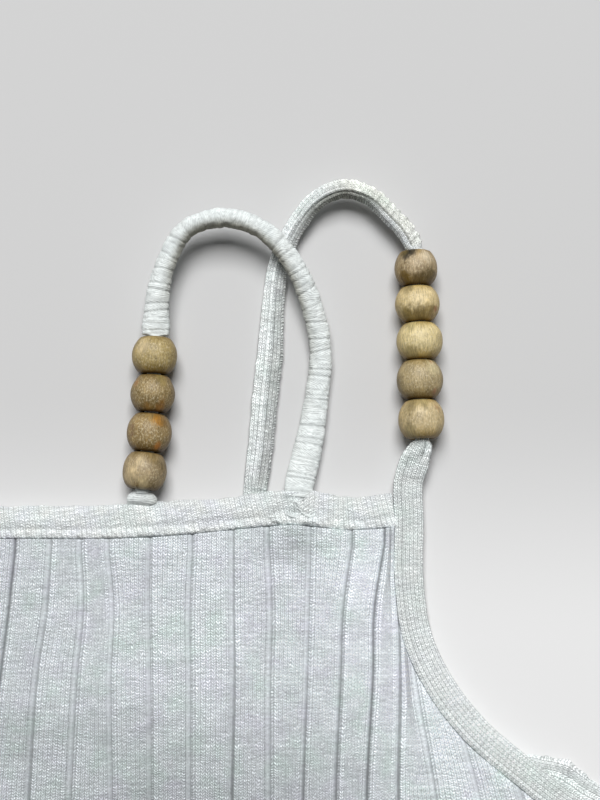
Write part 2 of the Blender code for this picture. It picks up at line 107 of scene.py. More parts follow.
# Soft troughs that lying and pressing leave in the back: x, y, half length, half width,
# direction from +X in degrees, and height.
BACK_CREASES = (
    (-120, -60, 60, 5, 62, 0.3), (-60, 40, 48, 4, 118, 0.26), (35, -150, 70, 6, 75, 0.3),
    (90, 20, 52, 4.5, 55, 0.24), (130, -170, 40, 4, 105, 0.28), (-20, -215, 46, 5, 20, 0.22),
    (10, 95, 44, 4, 150, 0.24), (-140, -190, 34, 4, 70, 0.26))


def smooth_curve(points, steps):
    """Cubic curve through the points, with the given number of steps to each span.

    Each point's slope is the mean of its two spans' slopes, the shorter span counting more.
    """
    span = np.linalg.norm(np.diff(points, axis=0), axis=1)[:, None]
    slope = np.diff(points, axis=0) / span
    inner = (span[:-1] * slope[1:] + span[1:] * slope[:-1]) / (span[:-1] + span[1:])
    tangent = np.vstack([slope[:1], inner, slope[-1:]])[:, None, :]
    t = (np.arange(steps) / steps)[None, :, None]
    span, start, end = span[:, None], points[:-1, None], points[1:, None]
    curve = ((2 * t ** 3 - 3 * t ** 2 + 1) * start + (3 * t ** 2 - 2 * t ** 3) * end
             + span * (t ** 3 - 2 * t ** 2 + t) * tangent[:-1]
             + span * (t ** 3 - t ** 2) * tangent[1:])
    return np.vstack([curve.reshape(-1, points.shape[1]), points[-1]])


def unit(vectors):
    """Each row's vector at length 1."""
    return vectors / np.linalg.norm(vectors, axis=1)[:, None]


def moved_right(line, distance):
    """A run of x, y points moved to its right by a distance."""
    along = unit(np.gradient(line, axis=0))
    return line + distance * np.column_stack([along[:, 1], -along[:, 0]])


def beside(points, distance, steps):
    """A smooth run through x, y points, moved to its right by a distance."""
    return moved_right(smooth_curve(np.array(points)[:, :2], steps), distance)


def side_edge(armhole):
    """y and x of a panel's right edge, rising: the side seam and then the armhole."""
    seam = smooth_curve(np.array(SIDE_SEAM), 6)[::-1]
    above = armhole[(armhole[:, 1] > seam[-1, 1]) & (armhole[:, 0] < seam[-1, 0] - 1.0)]
    edge = np.vstack([seam, above[np.argsort(above[:, 1])]])
    return edge[:, 1], edge[:, 0]


def cloth_rows(bands, top):
    """y of a cloth's rows from the hem to its top: close at both, in even bands between."""
    even = [np.linspace(start, end, round((end - start) / pitch), endpoint=False)
            for start, end, pitch in bands]
    return np.concatenate([HEM_Y + EDGE_ROWS, *even, top - EDGE_ROWS[::-1]])


def soft_noise(x, y, size_x, size_y, seed):
    """Smooth noise from -1 to 1: random values on a lattice, eased from one to the next."""
    lattice = np.random.default_rng(seed).uniform(-1, 1, (256, 256))
    column, row = x / size_x + 97.0, y / size_y + 131.0
    i, j = np.floor(column).astype(int), np.floor(row).astype(int)
    s, t = column - i, row - j
    s, t = s * s * (3 - 2 * s), t * t * (3 - 2 * t)
    i, j, right, above = i % 256, j % 256, (i + 1) % 256, (j + 1) % 256
    low = lattice[i, j] * (1 - s) + lattice[right, j] * s
    high = lattice[i, above] * (1 - s) + lattice[right, above] * s
    return low * (1 - t) + high * t


def crease_height(x, y, creases):
    """Sum of soft ridges: height x exp(-(across / half width)^2 - (along / half length)^4).

    Each one bows and varies a little along its length, so that none is a straight bar.
    """
    total = np.zeros(np.shape(x))
    for number, (at_x, at_y, reach, width, turn, height) in enumerate(creases):
        cos, sin = math.cos(math.radians(turn)), math.sin(math.radians(turn))
        along = (x - at_x) * cos + (y - at_y) * sin
        across = (y - at_y) * cos - (x - at_x) * sin
        bow = 0.35 * width * np.sin(along / reach * 2.2 + number) + 0.12 * width * np.sin(
            along / reach * 7.0 + 2.0 * number)
        uneven = 1 + 0.25 * np.sin(along / reach * 4.1 + 1.7 * number)
        total += height * uneven * np.exp(
            -((across + bow) / width) ** 2 - (along / reach) ** 4)
    return total


def ribbed_grid(lines, depth, folded, rise, shoulder):
    """Columns of a ribbed cloth at every row: x, height, wale, tone and plainness.

    lines, depth, folded and rise give each groove's x, its depth and its share of
    FOLDED_GROOVE over OPEN_GROOVE, and the rise of each rib, row by row. Between grooves a
    rib is the arch shoulder + CROWN_RISE x (1 - (2f - 1)^2).
    """
    rows, count = lines.shape
    edge = np.full((rows, 1), BLANK_HALF_WIDTH)
    gap = np.diff(np.hstack([-edge, lines, edge]), axis=1)
    fit = np.minimum(1, GROOVE_SHARE * gap / GROOVE_REACH)[:, :, None]
    folded = folded[:, :, None]
    place, share, tone, wale, plain = (
        first + (last - first) * folded for first, last in zip(OPEN_GROOVE.T, FOLDED_GROOVE.T))
    groove_x = lines[:, :, None] + place * np.where(place < 0, fit[:, :-1], fit[:, 1:])
    shoulders = (shoulder + rise)[:, :, None]
    beside_groove = np.where(place < 0, shoulders[:, :-1], shoulders[:, 1:])
    groove_z = beside_groove - (beside_groove - (shoulder - depth)[:, :, None]) * share
    start = np.concatenate([-edge[:, :, None], groove_x[:, :, -1:]], axis=1)
    end = np.concatenate([groove_x[:, :, :1], edge[:, :, None]], axis=1)
    top_x = start + (end - start) * RIB_TOP_STEPS
    top_z = shoulders + CROWN_RISE * (1 - (2 * RIB_TOP_STEPS - 1) ** 2)
    first_wale = WALES_PER_RIB * np.arange(count + 1)[:, None]
    top_wale = first_wale + TOP_WALES * RIB_TOP_STEPS + 0 * top_x
    even, none = 1 + 0 * edge, 0 * edge
    layers = (
        (-edge, top_x, groove_x, edge),
        (shoulders[:, 0], top_z, groove_z, shoulders[:, -1]),
        (none, top_wale, first_wale[:-1] + wale, (first_wale[-1] + TOP_WALES) * even),
        (even, 1 + 0 * top_x, tone, even), (none, 0 * top_x, plain, none))
    return [np.hstack([first, np.concatenate([top[:, :-1], groove], axis=2).reshape(rows, -1),
                       top[:, -1], last]) for first, top, groove, last in layers]


def cut_to_edge(columns, y, edge_y, edge_x):
    """The grid's columns brought in to the cloth's edge, which they reach and never pass."""
    x, *others = columns
    edge = np.interp(y, edge_y, edge_x)
    cut = np.clip(x, -edge, edge)
    return [cut] + [np.stack([np.interp(cut[i], x[i], each[i]) for i in range(len(x))])
                    for each in others]


def rounded_edge(distance):
    """Share of the cloth's thickness left at a distance from its edge: a quarter circle."""
    inward = np.clip(distance / EDGE_ROUNDING, 0, 1)
    return EDGE_THICKNESS + (1 - EDGE_THICKNESS) * np.sqrt(1 - (1 - inward) ** 2)


def cloth_mesh(name, x, y, z, wale, tone, plain, far_z):
    """A closed cloth: the shaped face on the grid, its rim, and a plain face at far_z.

    The grid's rows rise in y and its columns in x. Points that fall together at the edge
    are made one, and faces without area are left out. The knit map has the wale's number
    in millimetres, and y.
    """
    points = np.stack([x, y, z], axis=2).reshape(-1, 3) * MM
    _, kept, merged = np.unique(np.round(points, 7), axis=0, return_index=True,
                                return_inverse=True)
    merged = merged.reshape(x.shape)
    quads = np.stack([merged[:-1, :-1], merged[:-1, 1:], merged[1:, 1:], merged[1:, :-1]],
                     axis=2).reshape(-1, 4)
    same = quads == np.roll(quads, -1, axis=1)
    narrow = same.sum(axis=1) == 1
    corner = (same[narrow].argmax(axis=1)[:, None] + np.array((1, 2, 3))) % 4
    triangles = np.take_along_axis(quads[narrow], corner, axis=1)
    loop = np.concatenate([merged[0], merged[1:, -1], merged[-1, -2::-1], merged[-2:0:-1, 0]])
    loop = loop[loop != np.roll(loop, 1)]
    foot = len(kept) + np.arange(len(loop))
    rim = np.column_stack([np.roll(loop, -1), loop, foot, np.roll(foot, -1)])
    faces = []
    for corners in (quads, triangles):
        faces += corners[(np.diff(np.sort(corners, axis=1), axis=1) > 0).all(axis=1)].tolist()
    faces += rim.tolist() + [foot[::-1].tolist()]
    if far_z > z.mean():
        faces = [face[::-1] for face in faces]
    vertices = points[np.concatenate([kept, kept[loop]])]
    vertices[len(kept):, 2] = far_z * MM
    item = new_piece(name, vertices, faces)
    knit = np.stack([wale, y], axis=2).reshape(-1, 2) * MM
    write_map(item, "knit", knit[np.concatenate([kept, kept[loop]])])
    write_colour(item, "tone", np.concatenate([tone.reshape(-1)[kept], np.ones(len(loop))]))
    plain = np.concatenate([plain.reshape(-1)[kept], np.zeros(len(loop))])
    layer = item.data.attributes.new("plain", "FLOAT", "POINT")
    layer.data.foreach_set("value", plain.astype(np.float32))
    item.data.polygons[len(faces) - 1].use_smooth = False
    return item


def new_piece(name, vertices, faces):
    """A smooth-shaded mesh object from points in metres, linked to the scene."""
    mesh = bpy.data.meshes.new(name)
    mesh.from_pydata(np.asarray(vertices).tolist(), [], faces)
    mesh.polygons.foreach_set("use_smooth", np.ones(len(mesh.polygons), bool))
    mesh.update()
    item = bpy.data.objects.new(name, mesh)
    bpy.context.scene.collection.objects.link(item)
    return item


def write_map(item, name, places):
    """A UV map whose corners take the place given for each point."""
    corner = np.empty(len(item.data.loops), np.int32)
    item.data.loops.foreach_get("vertex_index", corner)
    layer = item.data.uv_layers.new(name=name)
    layer.data.foreach_set("uv", np.asarray(places, np.float32)[corner].ravel())


def write_colour(item, name, colours):
    """A colour for each point; a single number for each is a grey."""
    if colours.ndim == 1:
        colours = np.repeat(colours[:, None], 3, axis=1)
    layer = item.data.attributes.new(name, "FLOAT_COLOR", "POINT")
    layer.data.foreach_set("color", np.column_stack([colours, np.ones(len(colours))]).astype(
        np.float32).ravel())


def give(node, inputs):
    """Give a node's sockets their values: numbers, colours, or terms to link."""
    for socket, value in inputs.items():
        if isinstance(value, Term):
            node.id_data.links.new(value.socket, node.inputs[socket])
        else:
            node.inputs[socket].default_value = value


def put_node(tree, kind, inputs=(), **settings):
    """A new node of a tree, with its settings and its inputs."""
    made = tree.nodes.new(kind)
    for name, value in settings.items():
        setattr(made, name, value)
    give(made, dict(inputs))
    return made


def term(kind, inputs, output=0, **settings):
    """The output of a new node in the tree that its inputs' terms belong to."""
    tree = next(each.socket.id_data for each in inputs.values() if isinstance(each, Term))
    return Term(put_node(tree, kind, inputs, **settings).outputs[output])


class Term:
    """A value in a shader tree. Sums and products with it are written as for numbers."""

    def __init__(self, socket):
        self.socket = socket

    def maths(self, operation, *others):
        return term("ShaderNodeMath", dict(enumerate((self, *others))), operation=operation)

    def __add__(self, other):
        return self.maths("ADD", other)

    def __sub__(self, other):
        return self.maths("SUBTRACT", other)

    def __mul__(self, other):
        return self.maths("MULTIPLY", other)

    def parts(self):
        """x and y of this place."""
        node = put_node(self.socket.id_data, "ShaderNodeSeparateXYZ", {0: self})
        return Term(node.outputs[0]), Term(node.outputs[1])

    def stretched(self, *scale):
        """This place with its x, y and z scaled."""
        return term("ShaderNodeMapping", {"Vector": self, "Scale": scale})

    def noise(self, scale=1.0, detail=2.0, roughness=0.5):
        """Cloudy noise from 0 to 1 at this place."""
        return term("ShaderNodeTexNoise", {
            "Vector": self, "Scale": scale, "Detail": detail, "Roughness": roughness})

    def ranged(self, low, high, new_low, new_high, **settings):
        """This value with low to high turned into new_low to new_high, and held there."""
        return term("ShaderNodeMapRange", {
            "Value": self, "From Min": low, "From Max": high, "To Min": new_low,
            "To Max": new_high}, **settings)

    def tinted(self, other):
        """This colour times another colour or grey."""
        return mixed(1.0, self, other, "MULTIPLY")


def mixed(share, first, second, blend="MIX"):
    """The first colour with a share of the second, held within 0 and 1."""
    return term("ShaderNodeMix", {0: share, 6: first, 7: second}, 2, data_type="RGBA",
                blend_type=blend)


def bumped(height, strength, distance):
    return term("ShaderNodeBump", {
        "Strength": strength, "Distance": distance * MM, "Height": height})


def uv_place(tree, name):
    return Term(put_node(tree, "ShaderNodeUVMap", uv_map=name).outputs[0])


def attribute(tree, name, output="Color"):
    return Term(put_node(tree, "ShaderNodeAttribute", attribute_name=name).outputs[output])


def object_place(tree):
    return Term(put_node(tree, "ShaderNodeTexCoord").outputs["Object"])


def new_material(name):
    """A material, its tree and its shader."""
    material = bpy.data.materials.new(name)
    material.use_nodes = True
    return material, material.node_tree, material.node_tree.nodes["Principled BSDF"]


def effect_group(name, inputs, outputs):
    """A node group with named sockets of named kinds, and its inputs as terms by name."""
    tree = bpy.data.node_groups.new(name, "ShaderNodeTree")
    for way, sockets in (("INPUT", inputs), ("OUTPUT", outputs)):
        for socket, kind in sockets.items():
            tree.interface.new_socket(socket, in_out=way, socket_type=f"NodeSocket{kind}")
    return tree, {each.name: Term(each) for each in tree.nodes.new("NodeGroupInput").outputs}


def knit_stitches():
    """Plain knitting. Each wale is a column of Vs, darkest where it meets the next one.

    With u the part across a wale, from -1/2 to 1/2, the column is 0.35 sin(2 - 4|u|) +
    0.65 sin(2 pi |u|), so that each V has two legs, and along it a wave leads by 2|u| of a
    course. A line of depth (2|u|)^6 parts the wales. Stitches are uneven, and each second row
    is fuller. Where the knit is plain, the height is even. The shade is painted shade between
    the yarns: it follows the height and is 1 at the plain height.
    """
    tree, given = effect_group(
        "knit stitches",
        {"Place": "Vector", "Wales per metre": "Float", "Courses per metre": "Float",
         "Course depth": "Float", "Contrast": "Float", "Line depth": "Float", "Plain": "Float"},
        {"Height": "Float", "Shade": "Float"})
    place = given["Place"]
    x, y = place.parts()
    wale = x * given["Wales per metre"] + place.noise(700.0) * 0.35
    drift = place.stretched(420.0, 160.0, 1.0).noise()
    course = y * given["Courses per metre"] + drift * 4.0
    across = ((wale + 1000.0).maths("FRACT") - 0.5).maths("ABSOLUTE")
    legs = (across * (2 * math.pi)).maths("SINE")
    column = (across * -4.0 + 2.0).maths("SINE") * 0.35 + legs * 0.65
    wave = ((across * -2.0 + course) * (2 * math.pi)).maths("SINE") * 0.5 - 0.5
    wave = wave * given["Course depth"] + 1.0
    second = (course * math.pi).maths("SINE") * 0.32 + 1.0
    cell = term("ShaderNodeCombineXYZ", {0: wale, 1: course})
    line = (across * 2.0).maths("POWER", 6.0) * given["Line depth"]
    height = column * wave * (cell.noise(0.8) * 2.0 * second) - line
    height = term("ShaderNodeMix", {0: given["Plain"], 2: height, 3: PLAIN_HEIGHT},
                  data_type="FLOAT")
    shade = (height - PLAIN_HEIGHT) * given["Contrast"] + 1.0
    put_node(tree, "NodeGroupOutput", {"Height": height, "Shade": shade})
    return tree


def cotton_tint():
    """Bleached cotton: broad green and lavender clouds, slubs along the rows, fine specks."""
    tree, given = effect_group(
        "cotton tint", {"Place": "Vector", "Position": "Vector", "Pale": "Color",
                        "Green": "Color", "Lavender": "Color"},
        {"Colour": "Color", "Specks": "Float"})
    place, position = given["Place"], given["Position"]
    clouds = position.noise(95.0, 3.0) * 4.2 - 1.6
    patches = position.stretched(1.0, 1.0, 0.0).noise(210.0) * 3.2 - 1.2
    colour = mixed(patches, mixed(clouds, given["Green"], given["Lavender"]), given["Pale"])
    slubs = place.stretched(300.0, 1150.0, 1.0).noise(1.0, 3.0, 0.6)
    blots = position.stretched(130.0, 260.0, 0.0).noise(1.0, 3.0, 0.65)
    specks = slubs * 0.6 + (place.noise(1900.0, 1.0) * 0.6 + (blots * 0.5 + 0.15))
    put_node(tree, "NodeGroupOutput", {"Colour": colour, "Specks": specks})
    return tree


KNIT = knit_stitches()
TINT = cotton_tint()


def knit_material(name, tints, relief, stitch, turn=0.0):
    """Cotton knit: the stitches as relief and shade over the tint, with a soft sheen.

    tints are its pale, green and lavender colours, and stitch has the stitches' settings.
    """
    material, tree, shader = new_material(name)
    place = uv_place(tree, "knit")
    if turn:
        place = term("ShaderNodeMapping", {"Vector": place, "Rotation": (0.0, 0.0, turn)})
    stitches = put_node(tree, "ShaderNodeGroup", {
        "Place": place, "Plain": attribute(tree, "plain", "Fac"), **stitch}, node_tree=KNIT)
    colours = {word: (*tint, 1.0) for word, tint in zip(("Pale", "Green", "Lavender"), tints)}
    tint = put_node(tree, "ShaderNodeGroup", {
        "Place": place, "Position": object_place(tree), **colours}, node_tree=TINT)
    specks = Term(tint.outputs["Specks"])
    # Painted shade between the yarns, times the yarn's random specks.
    shade = Term(stitches.outputs["Shade"]) * specks
    colour = Term(tint.outputs["Colour"]).tinted(shade).tinted(attribute(tree, "tone"))
    height = specks * 0.9 + Term(stitches.outputs["Height"])
    give(shader, {"Base Color": colour, "Normal": bumped(height, 0.9, relief),
                  "Roughness": 0.92, "Specular IOR Level": 0.2, "Sheen Weight": 0.18,
                  "Sheen Roughness": 0.6})
    return material


RIB_KNIT = knit_material(
    "rib knit", ((0.765, 0.81, 0.84), (0.70, 0.79, 0.78), (0.745, 0.765, 0.83)), 0.2,
    {"Wales per metre": 800.0, "Courses per metre": 1370.0, "Course depth": 0.9,
     "Contrast": 1.2})


def back_panel():
    """The back, cut from a ribbed grid: flat inside, its outside pressed on the table."""
    neck = BACK_NECK_Y - BACK_NECK_HALF_HEIGHT - SEAM_GAP
    rows = cloth_rows(BACK_ROWS, neck)
    groove = FIRST_GROOVE_X + RIB_PITCH * np.arange(-GROOVES_ON_LEFT, GROOVES_ON_RIGHT)
    lines = np.broadcast_to(groove, (len(rows), len(groove)))
    flat = np.zeros((len(rows), len(groove) + 1))
    columns = ribbed_grid(lines, np.full(lines.shape, BACK_GROOVE), flat[:, 1:], flat, BACK_WALL)
    y = np.repeat(rows[:, None], columns[0].shape[1], axis=1)
    edge = side_edge(beside(BACK_ARMHOLE, BINDING_HALF_WIDTH + SEAM_GAP, 6))
    x, height, wale, tone, plain = cut_to_edge(columns, y, *edge)
    height = np.minimum(height, BACK_WALL) - crease_height(x, y, BACK_CREASES)
    inset = np.minimum(0.6 * (np.interp(y, *edge) - abs(x)), np.minimum(y - HEM_Y, neck - y))
    z = BACK_WALL - height * rounded_edge(inset)
    item = cloth_mesh("back_cloth", x, y, z, wale, tone, plain, BACK_WALL)
    item.data.materials.append(RIB_KNIT)
    return item


back_cloth = back_panel()
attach(back_cloth, "root")
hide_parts("back_panel")

# ---------------------------------------------------------------------------------------
# Front panel. The same knit, cut higher at the neck and lying on the back. The bindings
# pull its ribs together at the neckline, where the ribs near the armholes fold over.
# ---------------------------------------------------------------------------------------
FRONT_INNER_Z = BACK_WALL + SEAM_GAP
FRONT_WALL = 1.2
RIB_RISE = 0.9
HEM_RISE = 0.5
HEM_EDGE = 3.0
LEFT_NECK_X = -1.5
LEFT_NECK_PITCH = 9.9
LEFT_LEAN = 6.8
LEFT_LEAN_FADE = 0.45
LEAN_AT_CHEST = 0.55
LEAN_AT_UPPER = 0.25
EVEN_BELOW_Y = -60.0
FLAT_AT_WAIST_Y = 20.0
RISE_AT_WAIST = 0.4
# The rows are level up to the first of these, and above it they bend to the neckline.
LEVEL_ROWS_TO_Y = 138.0
NECK_ROWS_TO_Y = 152.0
FRONT_ROWS = ((HEM_Y + 3.0, HEM_Y + 25.0, 1.3), (HEM_Y + 25.0, 80.0, 4.4),
              (80.0, LEVEL_ROWS_TO_Y, 1.25), (LEVEL_ROWS_TO_Y, NECK_ROWS_TO_Y - 3.0, 1.2))
# A deep groove is a folded one, from FOLD_FROM on, and wholly so FOLD_OVER deeper.
FOLD_FROM = 0.75
FOLD_OVER = 0.25
# The grooves between the ribs, right of the centre: x at each of the heights, how deep the
# groove is at the neck and at the bust, and how far the rib on its right stands up.
GROOVE_HEIGHTS = (148, 132, 115, 85)
RIGHT_GROOVES = (
    (8.2, 6.9, 5, 2.1, 1, 0.95, 0.35), (17.1, 16.3, 14.1, 12.6, 0.6, 0.85, 0.1),
    (24.9, 25.6, 24.3, 23.1, 0.75, 0.7, 0), (32.1, 33.4, 32.9, 33.5, 0.6, 0.65, 0),
    (42.7, 42.6, 43, 43.4, 0.6, 0.65, 0), (53.6, 53, 53.2, 53.4, 0.8, 0.65, 0.05),
    (64, 64.1, 64.4, 64.1, 0.65, 0.95, 0.1), (73.2, 73.9, 73.6, 73.6, 0.7, 0.75, 0.15),
    (83.9, 83.5, 83.1, 82.2, 0.65, 0.95, 0.2), (94.7, 92.5, 91.8, 90.5, 0.9, 0.95, 0.35),
    (103.2, 100.6, 100.1, 98.4, 1, 1, 0.4), (105.9, 106.6, 106.9, 106.3, 0.9, 0.95, 0.15),
    (108.6, 109, 110.6, 115.6, 0.6, 0.8, 0), (112, 113.5, 118, 126.5, 0.6, 0.6, 0),
    (116, 119, 126, 137.2, 0.6, 0.6, 0), (121, 126, 135, 147.9, 0.6, 0.6, 0),
    (127, 133, 144, 158.4, 0.6, 0.6, 0))
# Each station is x, y, z of a section's centre, its half width and its half thickness.
# The front neck binding, right half, from the centre to the armhole binding.
FRONT_NECK = (
    (0, 153.5, 2.2, 4.2, 1.5), (12, 153.5, 2.3, 4.2, 1.5), (24, 153.5, 2.6, 4.3, 1.5),
    (33, 153.7, 3.6, 4.3, 1.5), (40.5, 154, 4.6, 4.4, 1.5), (48, 154.5, 3.9, 4.4, 1.5),
    (56, 155.1, 3.2, 4.3, 1.5), (63, 155.7, 3.3, 4.2, 1.5), (69.3, 156.4, 3.5, 4.3, 1.5),
    (75.5, 157.2, 3.2, 4.5, 1.5), (80.8, 157.6, 2.9, 4.8, 1.6), (86.5, 156.7, 2.7, 4.5, 1.5),
    (94.2, 155.8, 2.6, 4.3, 1.4), (100.5, 156.1, 2.7, 4.3, 1.4), (105.6, 156.7, 2.9, 4.4, 1.3))
# The front armhole binding, from the underarm up to the neckline.
ARMHOLE = (
    (181.2, 69.2, 2.9, 3.75, 1.3), (167.2, 73.6, 2.9, 3.75, 1.3), (150.7, 80.9, 2.9, 3.75, 1.3),
    (137.2, 91, 2.9, 3.75, 1.3), (125.5, 101.1, 2.9, 3.75, 1.3), (117.2, 111.9, 2.9, 3.75, 1.3),
    (111.6, 123.7, 2.9, 3.75, 1.3), (109.4, 138.2, 2.9, 3.75, 1.3), (109.5, 154.1, 2.9, 3.75, 1.3))
# Creases as on the back: dents under the inner strap, and soft waves over the body.
FRONT_CREASES = (
    (76.2, 147.6, 2.6, 1.2, 12, -0.62), (81.2, 147.4, 2.4, 1.2, 25, -0.56),
    (86, 146.2, 2.2, 1, 35, -0.4), (76, 144.2, 1.5, 0.9, 0, -0.5), (79, 149.6, 2.6, 0.9, 6, 0.36),
    (84, 143, 2, 1, 20, -0.3), (24.5, 128, 2.4, 1, 12, 0.2), (57, 122.5, 2.2, 0.9, -6, -0.16),
    (36, 138, 2.8, 1.2, 4, -0.18), (16.5, 133, 3, 1.2, 10, -0.2), (-22, 139, 5, 2, 80, -0.3),
    (-77, 145, 3.6, 1.6, 172, -0.4), (-84, 145.5, 3, 1.5, 160, -0.3), (-52, 118, 22, 3, 78, -0.32),
    (-118, 60, 52, 5, 58, 0.4), (-96, 20, 60, 6, 66, -0.4), (128, 48, 44, 5, 132, 0.36),
    (104, 0, 58, 6, 118, -0.38), (-60, -90, 80, 7, 82, 0.36), (24, -40, 70, 6.5, 97, -0.36),
    (70, -140, 66, 7, 84, 0.38), (-124, -160, 56, 6, 74, -0.36), (140, -150, 60, 6, 104, -0.36),
    (0, -205, 52, 6, 15, 0.28), (-70, -212, 36, 5, 165, -0.28), (96, -214, 34, 5, 12, -0.26))
# Unevenness of the cloth: the height, the size across and along, and the seed.
BODY_WAVES = (0.14, 9.0, 6.0, 3)
WALE_WAVES = (0.11, 3.2, 2.6, 4)
DEPTH_WAVES = (0.16, 1.0, 14.0, 5)
# Broad painted shade and painted light on the front, where it dips or catches the light: x,
# y, half width, half height, and the change of tone.
FRONT_SHADES = (
    (4, 98, 13, 9, -0.14), (12, 125, 16, 26, -0.06), (26, 101, 32, 5, -0.08),
    (98, 141, 9, 13, 0.13), (44, 76, 12, 20, -0.1), (34, 104, 10, 8, -0.05),
    (80, 147, 7, 3.4, -0.3), (112, 112, 20, 60, 0.24), (56, 146, 26, 10, 0.06),
    (136, 70, 16, 30, 0.1), (-70, 120, 40, 40, 0.05), (-40, -20, 60, 50, -0.05),
    (70, -120, 60, 60, -0.05))
# A painted shade down the middle of each side of the body, fading in below its top over a
# height.
BODY_SHADE = 0.34
BODY_SHADE_TOP = 122.0
BODY_SHADE_OVER = 52.0
BODY_SHADE_AT_HEM = 0.4
BODY_SHADE_X = 54.0
BODY_SHADE_REACH = 72.0
LEAST_WALL = 0.15
# The bound edge sinks under the bindings and is darkened there with painted shade, but not
# where an inner strap is caught into it, nor at the end of the neck binding.
EDGE_SHARPNESS = 12.0
LINE_GAP = 0.06
BOUND_DROP = 0.27
BOUND_SHADE = 0.15
BOUND_SHADE_REACH = 0.7
CAUGHT_PLACES = ((79.4, 3.0), (105.2, 1.8))
CAUGHT_RISE = 0.5
CAUGHT_DEPTH = 1.6
LIFT_FROM_Z = 2.3
LIFT_SHARE = 0.8
LIFT_REACH = 11.0


def groove_lines(rows):
    """x and depth of every groove at each row, left to right, and the rise of the ribs."""
    neck, upper, chest, bust, depth_neck, depth_bust, rise = np.array(RIGHT_GROOVES).T
    on_right, on_left = np.arange(GROOVES_ON_RIGHT), np.arange(GROOVES_ON_LEFT)
    hem_right = FIRST_GROOVE_X + RIB_PITCH * on_right
    right = np.stack([hem_right, hem_right, bust, chest, upper, neck])
    hem_left = FIRST_GROOVE_X - RIB_PITCH * (on_left + 1)
    neck_left = LEFT_NECK_X - LEFT_NECK_PITCH * on_left
    lean = LEFT_LEAN - LEFT_LEAN_FADE * on_left
    left = np.stack([hem_left, hem_left, neck_left - lean, neck_left - LEAN_AT_CHEST * lean,
                     neck_left - LEAN_AT_UPPER * lean, neck_left])
    heights = (HEM_Y, EVEN_BELOW_Y, *GROOVE_HEIGHTS[::-1])
    smooth = smooth_curve(np.column_stack([heights, left[:, ::-1], right]), 12)
    lines = np.column_stack([np.interp(rows, smooth[:, 0], column)
                             for column in smooth[:, 1:].T])
    like = np.hstack([on_left[::-1], on_right])
    top, bottom = GROOVE_HEIGHTS[0], GROOVE_HEIGHTS[-1]
    to_bust = np.clip((top - rows) / (top - bottom), 0, 1)[:, None]
    depth = depth_neck[like] * (1 - to_bust) + depth_bust[like] * to_bust
    fade = np.interp(rows, (HEM_Y, FLAT_AT_WAIST_Y, bottom), (0.0, RISE_AT_WAIST, 1.0))[:, None]
    return lines, depth, np.hstack([np.zeros((len(rows), 1)), rise[like] * fade])


def front_panel():
    """The front, cut from a ribbed grid between its armholes and up to the neck binding."""
    rows = cloth_rows(FRONT_ROWS, NECK_ROWS_TO_Y)
    lines, depth, rise = groove_lines(rows)
    folded = np.clip((depth - FOLD_FROM) / FOLD_OVER, 0, 1)
    number = np.arange(lines.shape[1]) * 3.0
    depth = depth * (1 + DEPTH_WAVES[0] * soft_noise(number, rows[:, None], *DEPTH_WAVES[1:]))
    columns = ribbed_grid(lines, depth, folded, rise, FRONT_INNER_Z + FRONT_WALL + RIB_RISE)
    stations = np.array(FRONT_NECK)
    neck = moved_right(stations[:, :2], stations[:, 3:4] + LINE_GAP)
    edge = side_edge(beside(ARMHOLE, -(BINDING_HALF_WIDTH + LINE_GAP), 6))
    neck = neck[neck[:, 0] < np.interp(neck[-1, 1], *edge) + 1.0]
    neck_y = np.interp(abs(columns[0]), *neck.T)
    lift = np.clip((rows - LEVEL_ROWS_TO_Y) / (NECK_ROWS_TO_Y - LEVEL_ROWS_TO_Y), 0, 1)[:, None]
    y = np.minimum(rows, LEVEL_ROWS_TO_Y)[:, None] + lift * (neck_y - LEVEL_ROWS_TO_Y)
    x, z, wale, tone, plain = cut_to_edge(columns, y, *edge)

    hem_top = HEM_Y + HEM_DEPTH
    z = z + np.interp(y, (hem_top - 1.0, hem_top + HEM_EDGE), (HEM_RISE, 0.0))
    z = z + crease_height(x, y, FRONT_CREASES)
    for across, (height, *sizes) in ((x, BODY_WAVES), (wale, WALE_WAVES)):
        z = z + height * soft_noise(across, y, *sizes)
    z = np.maximum(z, FRONT_INNER_Z + LEAST_WALL)
    below_neck = np.interp(abs(x), *neck.T) - y
    lifted = np.clip(np.interp(abs(x), stations[:, 0], stations[:, 2]) - LIFT_FROM_Z, 0, None)
    z = z + LIFT_SHARE * lifted * np.exp(-(below_neck / LIFT_REACH) ** 2)
    caught = sum(np.exp(-((abs(x) - at) / reach) ** 4) for at, reach in CAUGHT_PLACES)
    z = z + CAUGHT_RISE * caught * np.exp(-(below_neck / CAUGHT_DEPTH) ** 2)
    inset = np.minimum(np.interp(y, *edge) - abs(x), below_neck)
    drop = (1 - rounded_edge(EDGE_SHARPNESS * inset)) * BOUND_DROP * (1 - caught)
    z = FRONT_INNER_Z + (z - FRONT_INNER_Z) * np.minimum(rounded_edge(y - HEM_Y), 1 - drop)

    # Broad painted shade and painted light.
    for at_x, at_y, half_width, half_height, change in FRONT_SHADES:
        tone = tone * (1 + change * np.exp(
            -((x - at_x) / half_width) ** 2 - ((y - at_y) / half_height) ** 2))
    # Painted shade down each side of the body.
    down = np.clip((BODY_SHADE_TOP - y) / BODY_SHADE_OVER, 0, 1)
    down = down ** 2 * (3 - 2 * down) * np.interp(
        y, (HEM_Y, BODY_SHADE_TOP - BODY_SHADE_OVER), (BODY_SHADE_AT_HEM, 1.0))
    tone = tone * (1 - BODY_SHADE * down * np.exp(
        -((abs(x) - BODY_SHADE_X) / BODY_SHADE_REACH) ** 2))
    # Painted shade on the bound edge under the bindings.
    tone = tone * (1 - BOUND_SHADE * (1 - caught) * np.exp(
        -np.clip(below_neck, 0, None) / BOUND_SHADE_REACH))
    item = cloth_mesh("front_cloth", x, y, z, wale, tone, plain, FRONT_INNER_Z)
    item.data.materials.append(RIB_KNIT)
    return item


front_cloth = front_panel()
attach(front_cloth, "root")
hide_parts("front_panel")

